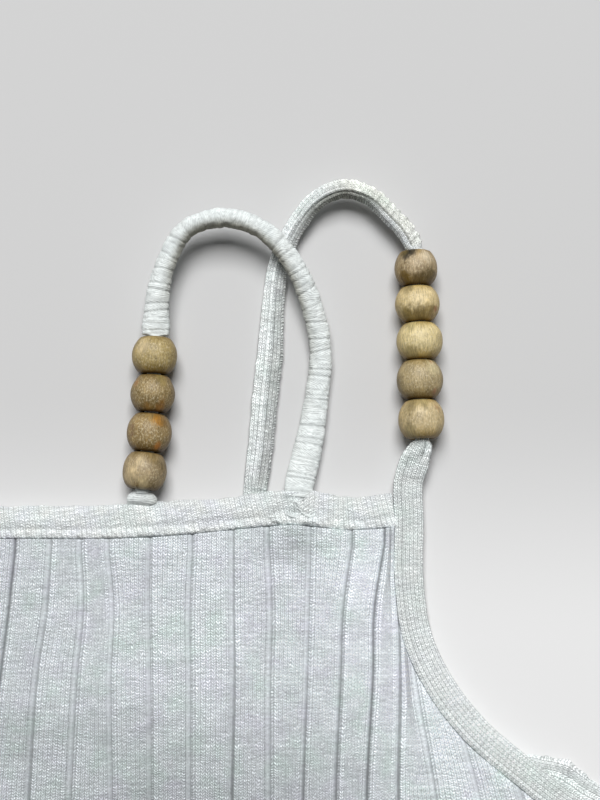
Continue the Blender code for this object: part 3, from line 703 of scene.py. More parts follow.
# ---------------------------------------------------------------------------------------
# Neck bindings. A strip of finer knit folded over each neckline and sewn down, so that
# its lower edge rolls into a lip below the seam. The back one lies flat under the front.
# ---------------------------------------------------------------------------------------
NECK_PITCH = 0.45
# The front binding seen from its left end: left is towards the top edge, both within 1.
NECK_SECTION = (
    (-0.86, -1), (0, -1), (0.86, -1), (0.95, -0.7), (1, -0.1), (0.97, 0.35), (0.91, 0.62),
    (0.82, 0.8), (0.7, 0.9), (0.55, 0.96), (0.38, 0.97), (0.2, 0.95), (0.04, 0.92), (-0.12, 0.87),
    (-0.25, 0.8), (-0.36, 0.71), (-0.44, 0.64), (-0.49, 0.66), (-0.54, 0.75), (-0.6, 0.84),
    (-0.68, 0.9), (-0.78, 0.92), (-0.88, 0.88), (-0.95, 0.76), (-0.99, 0.45), (-1, -0.1),
    (-0.98, -0.7))
# The seam's valley across the binding: its place, width and the darkness of its painted
# shade.
VALLEY_AT, VALLEY_WIDTH, VALLEY_DARKNESS = -0.3, 0.22, 0.08
# The lip below the valley with its painted shade, and the height and the tone of its twist
# and of its lumps; the tone is painted light where they rise and painted shade between.
LIP_FROM = -0.44
LIP_DARKNESS = 0.05
LIP_TWIST_PITCH = 1.8
LIP_TWIST_HEIGHT, LIP_TWIST_TONE = 0.12, 0.13
LIP_LUMP_HEIGHT, LIP_LUMP_TONE = 0.16, 0.12
# The fluffy top edge: where it begins to rise and to take a painted shade, and by how much.
FLUFF_FROM, FLUFF_HEIGHT = 0.55, 0.24
DUSK_FROM, DUSK_DARKNESS = 0.6, 0.10
TOP_EDGE_OVER = 0.3
BAND_UNEVENNESS = 0.12
# How dark the painted shade in the puckers' dents is.
PUCKER_DARKNESS = 0.55
# Puckers where the inner strap is caught into the binding, given as the cloth's creases.
NECK_PUCKERS = (
    (76.4, 160, 2.4, 0.3, 4, -0.6), (79.8, 159.9, 2, 0.3, -6, -0.6),
    (82.9, 159, 1.9, 0.3, -28, -0.6), (78.6, 160.9, 3.4, 0.5, -3, 0.35),
    (78.8, 159.2, 0.9, 0.35, 20, 0.45), (80.2, 158.7, 0.8, 0.35, -30, 0.45),
    (81, 157.9, 0.7, 0.3, -60, 0.4), (79.4, 157.8, 1, 0.3, 15, 0.3), (76, 157.9, 2, 0.35, 12, 0.26),
    (75, 156.6, 2.6, 0.35, 4, -0.34), (79.2, 156.3, 2.2, 0.35, -8, -0.3),
    (77.6, 155.2, 2.2, 0.4, 6, 0.34), (75.4, 153, 1.3, 0.35, 0, -0.55),
    (80.6, 155.3, 1.2, 0.35, 30, 0.3), (83.4, 153.9, 1.7, 0.7, 8, 0.5),
    (88.3, 156.2, 2.2, 0.4, -28, -0.45), (88, 154.6, 1.6, 0.5, 14, 0.3),
    (72, 156.2, 1.6, 0.35, 20, -0.26), (86.9, 158.4, 0.35, 1.4, 0, -0.3),
    (71, 158.6, 0.4, 2, 0, -0.22))
BACK_BINDING_Z = BACK_WALL / 2
BACK_BINDING_HALF_THICKNESS = 0.64
BACK_BINDING_ROUNDNESS = 0.45
BACK_BINDING_SIDES = 20
BACK_BINDING_PITCH = 2.5

BINDING_KNIT = knit_material(
    "binding knit", ((0.90, 0.94, 0.93), (0.84, 0.92, 0.895), (0.87, 0.905, 0.92)), 0.2,
    {"Wales per metre": 1000.0, "Courses per metre": 1370.0, "Course depth": 0.85,
     "Contrast": 1.2, "Line depth": 0.09})
CROSSWAYS_KNIT = knit_material(
    "binding knit crossways",
    ((0.85, 0.88, 0.865), (0.775, 0.845, 0.83), (0.805, 0.83, 0.87)), 0.17,
    {"Wales per metre": 770.0, "Courses per metre": 1440.0, "Course depth": 0.9,
     "Contrast": 0.95}, turn=math.pi / 2 - 0.12)


def even_run(stations, pitch, steps=16):
    """Sections at an even pitch along a smooth run: centre, left, up, half sizes, distance."""
    table = np.array(stations)
    fine = smooth_curve(table[:, :3], steps)
    travelled = np.concatenate([[0], np.cumsum(np.linalg.norm(np.diff(fine, axis=0), axis=1))])
    distance = np.linspace(0, travelled[-1], round(travelled[-1] / pitch) + 1)
    centre = np.column_stack([np.interp(distance, travelled, column) for column in fine.T])
    half = np.column_stack([np.interp(distance, travelled[::steps], column)
                            for column in table[:, 3:].T])
    along = unit(np.gradient(centre, axis=0))
    left = unit(np.cross((0.0, 0.0, 1.0), along))
    return centre, left, np.cross(along, left), half, distance


def tube_faces(rings, sides):
    """Faces of a closed tube by its points' numbers: the wall's quads, and its two ends."""
    index = np.arange(rings * sides).reshape(rings, sides)
    onward = np.roll(index, -1, axis=1)
    wall = np.stack([index[:-1], onward[:-1], onward[1:], index[1:]], axis=2).reshape(-1, 4)
    return wall, index[:1, ::-1], index[-1:]


def skin(name, run, left_part, up_part, raised, tone, knit_across=None):
    """A closed tube: ring points at parts of the half sizes, raised along their outward way.

    left_part, up_part and raised are for the points of each ring, or of every ring, and
    tone is a number or a colour for them. The knit map has the distance along the run, and
    across it knit_across or else the way round the ring, all in millimetres.
    """
    centre, left, up, half, distance = run
    a, b = half[:, :1] * left_part, half[:, 1:2] * up_part
    step_a = np.roll(a, -1, axis=1) - np.roll(a, 1, axis=1)
    step_b = np.roll(b, -1, axis=1) - np.roll(b, 1, axis=1)
    size = np.maximum(np.hypot(step_a, step_b), 1e-9)
    turned = 1 if (a * step_b - b * step_a).sum() > 0 else -1
    a = a + turned * raised * step_b / size
    b = b - turned * raised * step_a / size
    rings = centre[:, None] + left[:, None] * a[:, :, None] + up[:, None] * b[:, :, None]
    faces = [face[::turned] for part in tube_faces(*a.shape) for face in part.tolist()]
    item = new_piece(name, rings.reshape(-1, 3) * MM, faces)
    if knit_across is None:
        around = np.hypot(step_a, step_b) / 2
        knit_across = np.cumsum(around, axis=1) - around[:, :1]
    places = np.stack([knit_across, distance[:, None] + 0 * a], axis=2)
    write_map(item, "knit", places.reshape(-1, 2) * MM)
    tone = np.broadcast_to(tone if np.ndim(tone) == 3 else tone[..., None], rings.shape)
    write_colour(item, "tone", tone.reshape(-1, 3))
    return item


def mirrored(stations, side):
    """The stations with x turned to the given side, 1 right or -1 left."""
    return [(side * row[0], *row[1:]) for row in stations]


def furrow(place, at, width):
    """1 in the middle of a narrow furrow and 0 beyond its width, on a bell curve."""
    return np.exp(-((place - at) / width) ** 2)


def ring_angles(sides):
    """Directions of a ring's points from its middle, none of them on an axis."""
    return (np.arange(sides) + 0.5) * 2 * math.pi / sides


def oval(sides, roundness):
    """Left and up of a superellipse's points; a roundness of 1 is an ellipse."""
    left, up = np.cos(ring_angles(sides)), np.sin(ring_angles(sides))
    return np.sign(left) * abs(left) ** roundness, np.sign(up) * abs(up) ** roundness


def front_neck_band():
    """The front binding, with its twisted lip, its fluffy top edge and its puckers."""
    run = even_run((*mirrored(FRONT_NECK[:0:-1], -1), *FRONT_NECK), NECK_PITCH)
    across, upward = np.array(NECK_SECTION).T
    along = run[4][:, None]
    x, y = (run[0][:, axis:axis + 1] + run[1][:, axis:axis + 1] * run[3][:, :1] * across
            for axis in (0, 1))
    seen = upward > 0
    lip = np.clip((LIP_FROM - across) / 0.1, 0, 1) * np.clip(upward / 0.5 - 0.4, 0, 1)
    lumps = soft_noise(along, across * 3, 1.6, 2.0, 7)
    twist = np.sin(2 * math.pi * (along / LIP_TWIST_PITCH + across * 1.6 + 0.5 * lumps))
    puckers = crease_height(abs(x), y, NECK_PUCKERS)
    fluff, dusk = (np.clip((across - start) / TOP_EDGE_OVER, 0, 1)
                   for start in (FLUFF_FROM, DUSK_FROM))
    raised = lip * (LIP_TWIST_HEIGHT * twist + LIP_LUMP_HEIGHT * lumps) + puckers * seen
    raised = raised + FLUFF_HEIGHT * fluff * soft_noise(along, across * 3, 2.2, 3.0, 8)
    raised = raised + BAND_UNEVENNESS * seen * soft_noise(along, across * 4.2, 4.0, 2.2, 9)
    # Painted shade in the valley, over the lip, at the top edge and in the puckers' dents, and
    # painted light on the lip's raised twist and lumps.
    tone = 1 - VALLEY_DARKNESS * furrow(across, VALLEY_AT, VALLEY_WIDTH) * seen
    tone = tone + lip * (LIP_TWIST_TONE * twist + LIP_LUMP_TONE * lumps - LIP_DARKNESS)
    tone = tone - DUSK_DARKNESS * dusk - PUCKER_DARKNESS * np.clip(-puckers, 0, 1) * seen
    item = skin("front_neck_band", run, across, upward, raised, tone)
    item.data.materials.append(CROSSWAYS_KNIT)
    return item


def back_neck_band():
    """The back binding, plain and straight."""
    run = even_run([
        (x, BACK_NECK_Y, BACK_BINDING_Z, BACK_NECK_HALF_HEIGHT, BACK_BINDING_HALF_THICKNESS)
        for x in (-BACK_NECK_HALF_LENGTH, BACK_NECK_HALF_LENGTH)], BACK_BINDING_PITCH)
    item = skin("back_neck_band", run, *oval(BACK_BINDING_SIDES, BACK_BINDING_ROUNDNESS), 0.0,
                np.ones(BACK_BINDING_SIDES))
    item.data.materials.append(CROSSWAYS_KNIT)
    return item


front_neck = front_neck_band()
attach(front_neck, "root")
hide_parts("front_neck_binding")
back_neck = back_neck_band()
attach(back_neck, "root")
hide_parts("back_neck_binding")

# ---------------------------------------------------------------------------------------
# Outer straps. The binding that edges each front armhole runs on past the neckline, rolls
# into a tube for its five beads and the loop over the shoulder, and ends at the back neck.
# ---------------------------------------------------------------------------------------
SIDES = ((1, "right"), (-1, "left"))
STRAP_IN_BORE = 1.8
MOUTH_CLEAR = 0.3
MOUTH_STRAIGHT = 1.5
STRAP_PITCH = 0.5
STRAP_SIDES = 48
OUTER_FRONT = (
    (109.5, 164.4, 3.2, 3.8, 1.3), (111, 169.2, 4.5, 3.9, 1.4), (112.7, 173.5, 5.9, 2.75, 2))
OUTER_LOOP = (
    (110.8, 225.5, 5.7, 2.35, 2.1), (108.8, 229.2, 5.8, 2.4, 2.3), (105.5, 232.8, 5.9, 2.45, 2.4),
    (98.7, 238.8, 6, 2.45, 2.6), (92.6, 240.3, 5.8, 2.4, 2.6), (86.3, 237.9, 5.3, 2.45, 2.4),
    (80.5, 231.1, 4.1, 2.55, 2), (75.7, 220.4, 2.6, 2.65, 1.6), (74.2, 208, 1.9, 2.95, 1.7),
    (73.6, 198.5, 1.8, 3.35, 1.75), (72.3, 186, 1.75, 3.4, 1.7), (70.6, 168.5, 1.6, 3.25, 1.6),
    (70, 164, 1.45, 3.1, 1.5), (69.7, 161.8, 1, 3, 0.8), (69.1, 157, 0.75, 2.8, 0.6),
    (68.4, 146.5, 0.7, 2.6, 0.6))
# At each station of the loop: where the gap between its two rolls runs, 1 being the inside
# of the bend, how far the lesser roll lies below the main one, and the lesser roll's tone,
# which is painted shade where it is turned from the light.
OUTER_ROLLS = (
    (0.3, 0.05, 0.9), (0.32, 0.15, 0.85), (0.34, 0.25, 0.8), (0.44, 0.45, 0.44), (0.5, 0.45, 0.36),
    (0.42, 0.4, 0.46), (0.16, 0.34, 0.66), (0.12, 0.36, 0.7), (0.14, 0.38, 0.7), (0.18, 0.36, 0.7),
    (0.18, 0.36, 0.68), (0.24, 0.34, 0.66), (0.25, 0.34, 0.66), (0.26, 0.3, 0.66), (0.26, 0.2, 0.7),
    (0.26, 0, 1))
# The same where the tape folds into its first bead.
TAPE_FOLD = (-0.38, 0.0, 1.0)
# Furrows and ridges along the flat tape: place across, 1 being its inner edge, width,
# height, and how dark each one is, as painted shade.
TAPE_LINES = ((0.70, 0.12, 0.20, 0.0), (0.48, 0.08, -0.26, 0.22), (0.16, 0.06, -0.12, 0.10))
# Painted shade along the tape's outer edge.
TAPE_RIM_DARKNESS = 0.24
TAPE_WALES = 7.6
ROLL_WALES = 6.4
# Painted shade and painted light along the tape: y, and the tone there.
TAPE_SHADE_Y = (70, 84, 96, 112, 130, 160, 174, 200)
TAPE_SHADE = (0.8, 0.86, 0.96, 0.98, 0.9, 0.865, 0.98, 1.02)
# A section is rolled, and rounder, where it is thicker than this share of its width.
ROLLED_FROM, ROLLED_OVER = 0.38, 0.12
TAPE_ROUNDNESS, ROLL_ROUNDNESS = 0.5, 0.9
# Between the rolls: width, depth and darkness of the gap and of the seam beside it, both
# painted shade, and the painted highlight of the ridge between the two, with the place of
# the last two from the gap.
GAP_WIDTH, GAP_DEPTH, GAP_DARKNESS = 0.13, 0.8, 0.45
SEAM_FROM_GAP, SEAM_WIDTH, SEAM_DEPTH, SEAM_DARKNESS = -0.62, 0.08, 0.25, 0.20
RIDGE_FROM_GAP, RIDGE_WIDTH, RIDGE_LIGHT = -0.24, 0.2, 0.12
GAP_OVER = 0.12
# Lumps of the strap in two sizes: share, place round the ring, size along and round it.
STRAP_LUMPS = ((1.0, 40, 1.9, 1.6), (0.6, 90, 0.9, 0.8))
STRAP_LUMP_HEIGHT = 0.14
# Painted light where the lumps rise and painted shade between them.
STRAP_LUMP_TONE = 0.10
# The main roll is twisted like a rope from here to the beads.
TWIST_FROM_X = 88.0
TWIST_FROM_Y = 215.0
TWIST_OVER = 6.0
TWIST_PITCH = 2.2
TWIST_LEAN = 0.45
# The twist's height, and its tone: painted light on its ridges, painted shade in its furrows.
TWIST_HEIGHT, TWIST_TONE = 0.24, 0.11
# How much red, green and blue the twisted roll lacks, and the yellowish tint that the lesser
# roll's painted shade takes at its darkest.
CREAM = np.array((0.0, 0.02, 0.08))
OLIVE = np.array((0.0, 0.12, 0.46))
STRAP_TONE = 1.02
# A strap is bare where its half width is over this, and thin in its beads below it.
OUTER_BARE_FROM = 2.2
# The beads in the order that their strap meets them: x, y, radius and length.
OUTER_BEADS = (
    (112.6, 179.8, 6.1, 10.1), (112.3, 190.1, 6.05, 10.1), (112.3, 200.1, 6.15, 9.6),
    (111.8, 209.8, 5.9, 9.3), (111.5, 219.3, 5.7, 9.2))


def bead_axes(beads, side):
    """Centres of a row of beads on the table's plane, and the way the strap runs in each."""
    centres = np.array([(side * row[0], row[1]) for row in beads])
    return centres, unit(np.gradient(centres, axis=0))


def bore_stations(beads):
    """Stations of a strap where it runs thin through its beads, straight at both mouths."""
    centres, along = bead_axes(beads, 1)
    mouth = np.array([row[3] / 2 + MOUTH_CLEAR for row in beads])[:, None]
    starts, ends = centres - along * mouth, centres + along * mouth
    straight = along * MOUTH_STRAIGHT
    line = [starts[0], starts[0] + straight[0], *centres[1:-1], ends[-1] - straight[-1], ends[-1]]
    radii = [row[2] for row in beads]
    heights = [radii[0], *radii, radii[-1]]
    return [(*point, z, STRAP_IN_BORE, STRAP_IN_BORE) for point, z in zip(line, heights)]


def bare(half, least):
    """1 where a strap's half width is over least, and 0 where it is thin in its beads."""
    return 1 - np.clip((least - half[:, :1]) / 0.2, 0, 1)


def outer_strap(side, word):
    """The flat part is a tape with a sewn line by its inner edge. The round part is rolled
    from the same tape in a main roll and a lesser one, with a gap between them."""
    before = (*ARMHOLE, *OUTER_FRONT, *bore_stations(OUTER_BEADS))
    stations = [(*row, *TAPE_FOLD) for row in before]
    stations += [(*row, *roll) for row, roll in zip(OUTER_LOOP, OUTER_ROLLS)]
    run = even_run(mirrored(stations, side), STRAP_PITCH)
    centre, half, along = run[0], run[3], run[4][:, None]
    gap_at, step, low_tone = half[:, 2:3], half[:, 3:4], half[:, 4:5]
    rolled = np.clip((half[:, 1:2] / half[:, :1] - ROLLED_FROM) / ROLLED_OVER, 0, 1)
    left, up = oval(STRAP_SIDES, TAPE_ROUNDNESS + (ROLL_ROUNDNESS - TAPE_ROUNDNESS) * rolled)
    inner, top = side * left, up > 0
    free = bare(half, OUTER_BARE_FROM)
    loose = rolled * free
    wander = gap_at + 0.05 * np.sin(along / 5.0)
    gap = furrow(inner, wander, GAP_WIDTH)
    seam = furrow(inner, wander + SEAM_FROM_GAP, SEAM_WIDTH)
    ridge = furrow(inner, wander + RIDGE_FROM_GAP, RIDGE_WIDTH)
    lesser = np.clip((inner - wander) / GAP_OVER, 0, 1)
    around = ring_angles(STRAP_SIDES) / math.pi * 8
    lumps = sum(share * soft_noise(along, around + place, *sizes, 20 + side)
                for share, place, *sizes in STRAP_LUMPS)
    twisted = loose * (1 - lesser) * np.clip(
        (abs(centre[:, :1]) - TWIST_FROM_X) / TWIST_OVER, 0, 1) * (centre[:, 1:2] > TWIST_FROM_Y)
    rope = np.sin(2 * math.pi * (along / TWIST_PITCH + TWIST_LEAN * inner) + 2.5 * lumps)
    tape = sum(height * furrow(inner, at, width) for at, width, height, _ in TAPE_LINES)
    raised = (tape * (1 - rolled) - (
        GAP_DEPTH * gap + SEAM_DEPTH * seam + step * lesser) * loose) * top
    raised = raised + STRAP_LUMP_HEIGHT * lumps * (0.3 + 0.7 * rolled) * free
    raised = raised + TWIST_HEIGHT * rope * twisted
    # Painted shade in the gap, the seam and the tape's lines, at the tape's rim, on the lesser roll
    # and along the tape by y; painted light on the ridge, the lumps and the twist.
    tone = STRAP_TONE + TWIST_TONE * rope * twisted - loose * top * (
        GAP_DARKNESS * gap + SEAM_DARKNESS * seam - RIDGE_LIGHT * ridge)
    tone = tone * (1 - loose * lesser * (1 - low_tone)) * (1 + STRAP_LUMP_TONE * loose * lumps)
    lines = sum(dark * furrow(inner, at, width) for at, width, _, dark in TAPE_LINES)
    rim = np.clip((-inner - 0.94) / 0.04, 0, 1)
    tone = tone * (1 - (1 - rolled) * (TAPE_RIM_DARKNESS * rim + top * lines))
    tone = tone * np.interp(centre[:, 1:2], TAPE_SHADE_Y, TAPE_SHADE)
    tone = tone[:, :, None] * (1 - CREAM * twisted[:, :, None]) * (
        1 - (loose * lesser * (1 - low_tone) ** 3)[:, :, None] * OLIVE)
    knit_across = left * (TAPE_WALES + (ROLL_WALES - TAPE_WALES) * rolled) / 2
    item = skin(f"outer_strap_cloth_{word}", run, left, up, raised, tone, knit_across)
    item.data.materials.append(BINDING_KNIT)
    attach(item, "root")
    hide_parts(f"outer_strap_{word}")


for side, word in SIDES:
    outer_strap(side, word)

# ---------------------------------------------------------------------------------------
# Back armhole bindings. A thin overlocked tape under the front; its crinkled outer lip
# shows past the front binding below each arm, where the looper threads pucker it.
# ---------------------------------------------------------------------------------------
BACK_TAPE_SIDES = 32
# The lip's crinkles, the dark spots between its loops and its dark rim: height and tone. The
# tone is painted light on the raised crinkles and painted shade in the spots, on the rim and,
# by LIP_SHADE, over the whole lip.
LACE_HEIGHT, LACE_TONE = 0.34, 0.08
SPOT_DEPTH, SPOT_DARKNESS = 0.4, 0.38
LIP_RIM_DARKNESS = 0.22
LIP_SHADE = 0.02


def back_armhole(side, word):
    """The tape, with its outer lip raised and puckered as far as its stations say."""
    flat = [(x, y, BACK_BINDING_Z, BINDING_HALF_WIDTH, BACK_BINDING_HALF_THICKNESS, lip)
            for x, y, lip in BACK_ARMHOLE]
    run = even_run(mirrored(flat, side), STRAP_PITCH)
    half, along = run[3], run[4][:, None]
    left, up = oval(BACK_TAPE_SIDES, BACK_BINDING_ROUNDNESS)
    outward = side * left
    lip = half[:, 2:3] * np.clip((outward - 0.2) / 0.5, 0, 1) * (up > -0.5)
    shown = np.clip(lip * 2, 0, 1)
    lace = soft_noise(along, outward * 4, 1.7, 1.2, 31 + side)
    spots = np.clip(soft_noise(along, outward * 4, 1.9, 1.0, 35) - 0.3, 0, 1)
    rolled_rim = np.clip((outward - 0.9) / 0.08, 0, 1)
    raised = lip + shown * (LACE_HEIGHT * lace - SPOT_DEPTH * spots)
    tone = 1 - shown * (LIP_SHADE - LACE_TONE * lace + SPOT_DARKNESS * spots
                        + LIP_RIM_DARKNESS * rolled_rim)
    item = skin(f"back_armhole_cloth_{word}", run, left, up, raised, tone)
    item.data.materials.append(BINDING_KNIT)
    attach(item, "root")
    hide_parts(f"back_armhole_{word}")


for side, word in SIDES:
    back_armhole(side, word)

# ---------------------------------------------------------------------------------------
# Inner straps. A cotton cord wrapped round and round with thread, so that it swells and
# thins in uneven bands. It goes from the front binding over the shoulder to four beads.
# ---------------------------------------------------------------------------------------
INNER_LOOP = (
    (80.9, 160, 3.3, 3.6, 1.2), (81.4, 164.2, 3, 3.75, 1.4), (82.4, 168.4, 2.8, 3.75, 1.5),
    (83.8, 174.6, 2.7, 3.6, 1.6), (85.9, 187.2, 2.8, 3.05, 1.7), (86.7, 198.2, 3.6, 2.85, 1.8),
    (84.2, 210.5, 5.6, 2.8, 1.9), (78.8, 221.5, 8, 2.65, 2.1), (71.4, 229, 9.1, 2.5, 2.4),
    (61.6, 232, 8.9, 2.45, 3.1), (52.3, 229.4, 8.4, 2.45, 3), (46.7, 220.4, 7.5, 2.6, 2.5),
    (44.3, 210.1, 6.9, 3.15, 2), (44.1, 203.6, 6.2, 3.7, 1.9), (44.02, 201.8, 6, 3.45, 1.8))
# How dark the painted shade inside the bend is at each station, and in the beads and below
# them.
INNER_LOOP_RIM = (0.05, 0.05, 0.05, 0.08, 0.15, 0.35, 0.7, 0.9, 1, 1, 1, 0.75, 0.3, 0.12, 0.12)
INNER_FOOT_RIM = 0.3
INNER_FOOT = (
    (40.92, 161.2, 5.65, 2.55, 1.6), (40.88, 160.6, 5.6, 3.4, 1.7), (40.8, 159.6, 5.5, 3.85, 1.6),
    (40.75, 158.7, 5.2, 4, 1.4), (40.7, 157.9, 3.6, 3.9, 0.9), (40.4, 157, 1.8, 3.7, 0.6),
    (39.5, 146.5, 0.7, 3.65, 0.6))
INNER_BEADS = (
    (43.8, 196.4, 6, 9.6), (43.4, 186.5, 5.8, 9.6), (42.6, 176.4, 5.85, 9.8),
    (41.5, 166.5, 5.8, 9.6))
WRAP_PITCH = 0.26
WRAP_SIDES = 40
# Where the strap is drawn in between its bands: the distance from its foot on the front,
# how deep, how wide, and how far it slants from one edge to the other.
DRAWN_IN = (
    (1.2, 0.2, 0.35, 0), (4.8, 0.48, 0.26, 0.2), (5.9, 0.4, 0.24, 0.1), (8.2, 0.14, 0.22, 0.1),
    (9.2, 0.16, 0.22, 0), (10.1, 0.14, 0.22, 0), (11.1, 0.18, 0.22, -0.1), (12.2, 0.14, 0.22, 0.1),
    (13.9, 0.34, 0.28, 0.1), (15.5, 0.22, 0.24, 0.2), (18.8, 0.48, 0.28, 0.3),
    (20.4, 0.16, 0.22, 0.3), (23.6, 0.16, 0.24, -0.2), (24.8, 0.2, 0.24, 0),
    (25.8, 0.34, 0.26, 0.1), (26.8, 0.32, 0.24, 0.2), (28.2, 0.2, 0.24, 0.1), (31.9, 0.48, 0.28, 0),
    (33.6, 0.42, 0.26, 0.1), (36, 0.14, 0.24, -0.3), (38.4, 0.4, 0.34, 0.5),
    (39.6, 0.22, 0.22, 0.4), (41.6, 0.42, 0.26, -0.2), (43.2, 0.2, 0.24, 0),
    (46.1, 0.48, 0.3, -0.5), (47.2, 0.18, 0.22, -0.4), (50.4, 0.24, 0.26, 0.4),
    (52, 0.16, 0.22, -0.2), (54.7, 0.44, 0.3, 0.6), (56.4, 0.18, 0.22, 0.4), (58.2, 0.36, 0.26, 0),
    (60.1, 0.44, 0.28, 0.1), (61.4, 0.24, 0.22, 0.3), (64.2, 0.2, 0.24, -0.2), (65.8, 0.4, 0.28, 0),
    (67, 0.2, 0.22, 0.2), (69.1, 0.36, 0.26, 0.3), (72.6, 0.3, 0.26, -0.4), (75.2, 0.2, 0.24, 0.2),
    (78, 0.24, 0.24, 0.4), (81.5, 0.18, 0.22, 0), (84.6, 0.22, 0.24, -0.3), (87.4, 0.18, 0.22, 0.2),
    (90.6, 0.22, 0.24, 0.3), (93, 0.16, 0.22, 0), (95.6, 0.24, 0.26, -0.2), (98.9, 0.44, 0.3, 0.3),
    (100.4, 0.22, 0.22, 0.2), (103.6, 0.34, 0.28, -0.3), (105, 0.22, 0.24, 0.2),
    (107.4, 0.38, 0.28, 0.4), (109.2, 0.18, 0.22, -0.2), (111.3, 0.42, 0.26, 0.1),
    (113, 0.5, 0.28, 0), (116.5, 0.44, 0.28, 0.4), (118.5, 0.46, 0.28, 0.5), (120.2, 0.18, 0.24, 0),
    (121.6, 0.16, 0.22, -0.1), (123.4, 0.34, 0.26, 0.2), (166, 0.24, 0.26, 0.1),
    (168.2, 0.3, 0.26, -0.2), (170.4, 0.24, 0.26, 0.2))
DRAWN_DEPTH_SHARE = 0.7
DRAWN_WIDTH_SHARE = 0.85
# How dark the painted shade in the drawn-in lines is.
DRAWN_DARKNESS = 0.75
INNER_BARE_FROM = 2.4
WRAP_ROUNDNESS = 0.9
# Unevenness of the wrap, broad and fine: how much of it round the ring, its size along and
# round, its seed, and its height and tone; the tone is painted light where it rises and
# painted shade where it sinks.
WRAP_LUMPS = (3, 2.4, 1.6, 60)
WRAP_FINE = (5, 0.6, 1.0, 64)
LUMP_HEIGHT, LUMP_TONE = 0.16, 0.05
FINE_HEIGHT, FINE_TONE = 0.09, 0.09
# The colour that the painted shade inside the bend leaves at its darkest.
RIM_TONE = np.array((0.46, 0.43, 0.36))


def thread_material():
    """Bleached thread wound side by side: turns of it lie in fine lines, straight in one
    patch and slanting in the next, with loose fibres over them."""
    material, tree, shader = new_material("wrap thread")
    place = uv_place(tree, "knit")
    across, along = place.parts()
    slant = place.stretched(60.0, 240.0, 1.0).noise().ranged(0.40, 0.56, -80.0, 900.0)
    drift = place.stretched(160.0, 420.0, 1.0).noise()
    turns = across * slant + (along * 2100.0 + drift * 1.8)
    strand = (turns * math.pi).maths("SINE").maths("ABSOLUTE")
    loose = place.stretched(1100.0, 2100.0, 1.0).noise(1.0, 3.0, 0.6)
    height = loose * 2.4 + strand * 0.9
    colour = mixed(place.noise(120.0), (0.80, 0.865, 0.865, 1.0), (0.85, 0.88, 0.86, 1.0))
    # Painted shade between the strands, which follows their height.
    colour = colour.tinted(height * 0.24 + 0.57).tinted(attribute(tree, "tone"))
    give(shader, {"Base Color": colour, "Normal": bumped(height, 0.7, 0.11),
                  "Roughness": 0.85, "Specular IOR Level": 0.25, "Sheen Weight": 0.2})
    return material


WRAP_THREAD = thread_material()


def inner_strap(side, word):
    """A cord under bands of thread, drawn in between them, with painted shade inside its bend."""
    stations = [(*row, rim) for row, rim in zip(INNER_LOOP, INNER_LOOP_RIM)]
    stations += [(*row, INNER_FOOT_RIM) for row in (*bore_stations(INNER_BEADS), *INNER_FOOT)]
    run = even_run(mirrored(stations, side), WRAP_PITCH)
    half, along = run[3], run[4][:, None]
    left, up = oval(WRAP_SIDES, WRAP_ROUNDNESS)
    inner = side * left
    lines = sum(DRAWN_DEPTH_SHARE * deep * furrow(along + slant * inner, at,
                                                  DRAWN_WIDTH_SHARE * wide)
                for at, deep, wide, slant in DRAWN_IN)
    lumps, fine = (soft_noise(along, ring_angles(WRAP_SIDES) * turns, *sizes, seed + side)
                   for turns, *sizes, seed in (WRAP_LUMPS, WRAP_FINE))
    raised = (LUMP_HEIGHT * lumps + FINE_HEIGHT * fine - lines) * bare(half, INNER_BARE_FROM)
    # Painted shade inside the bend.
    rim = half[:, 2:3] * np.clip((inner + 0.05) / 0.9, 0, 1) ** 1.5
    tone = (1 - DRAWN_DARKNESS * np.clip(lines, 0, 0.5)) * (
        1 + LUMP_TONE * lumps + FINE_TONE * fine)
    tone = tone[:, :, None] * (1 - rim[:, :, None] * (1 - RIM_TONE))
    item = skin(f"inner_strap_thread_{word}", run, left, up, raised, tone)
    item.data.materials.append(WRAP_THREAD)
    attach(item, "root")
    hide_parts(f"inner_strap_{word}")


for side, word in SIDES:
    inner_strap(side, word)

# ---------------------------------------------------------------------------------------
# Beads. Turned wooden balls with flat ends and a bore, lightly oiled. They are threaded
# on the straps, five on each outer one and four on each inner one, and lie on the table.
# ---------------------------------------------------------------------------------------
BEAD_FLAT = 3.4
# Points of a flat end from inside the bore outwards: radius, and depth below the flat.
BEAD_END = np.array(((2.5, 1.6), (2.5, 0.25), (2.75, 0.0), (3.1, 0.02)))
BEAD_SEGMENTS = 60
BEAD_ARC_POINTS = 22
BEAD_BULGE = 0.92
BEAD_UNEVENNESS = 0.10
# Each bead's map lies in a part of the wood of its own, so far from the next ones.
WOOD_STEP = 40.0
WOOD_STEP_OUTER = 400.0
WOOD_STEP_LEFT = 900.0
# The wood of each bead, from the first that its strap meets.
OUTER_WOODS = (
    (0.59, 0.47, 0.265), (0.4, 0.315, 0.17), (0.69, 0.57, 0.3), (0.7, 0.56, 0.3),
    (0.42, 0.32, 0.19))
INNER_WOODS = ((0.41, 0.315, 0.135), (0.28, 0.2, 0.085), (0.3, 0.21, 0.09), (0.355, 0.27, 0.155))
# The wood is darker near its flats, and has painted shade on its flanks and on its lower end, which
# faces away from the light.
RIM_DARKNESS = 0.48
FLANK_DARKNESS = 0.28
FOOT_DARKNESS = 0.38
# How much less of the scuffs' painted highlight the flanks take.
FLANK_HIGHLIGHT_LOSS = 0.7
# Powers of what the darkness leaves, in red, green and blue.
DARK_TINT = np.array((0.92, 1.15, 2.0))
# How sharp a patch's edge is, how much of the wood it covers and how ragged it is.
PATCH_EDGE, PATCH_MOST, PATCH_RAGGEDNESS = 1.5, 0.85, 0.45
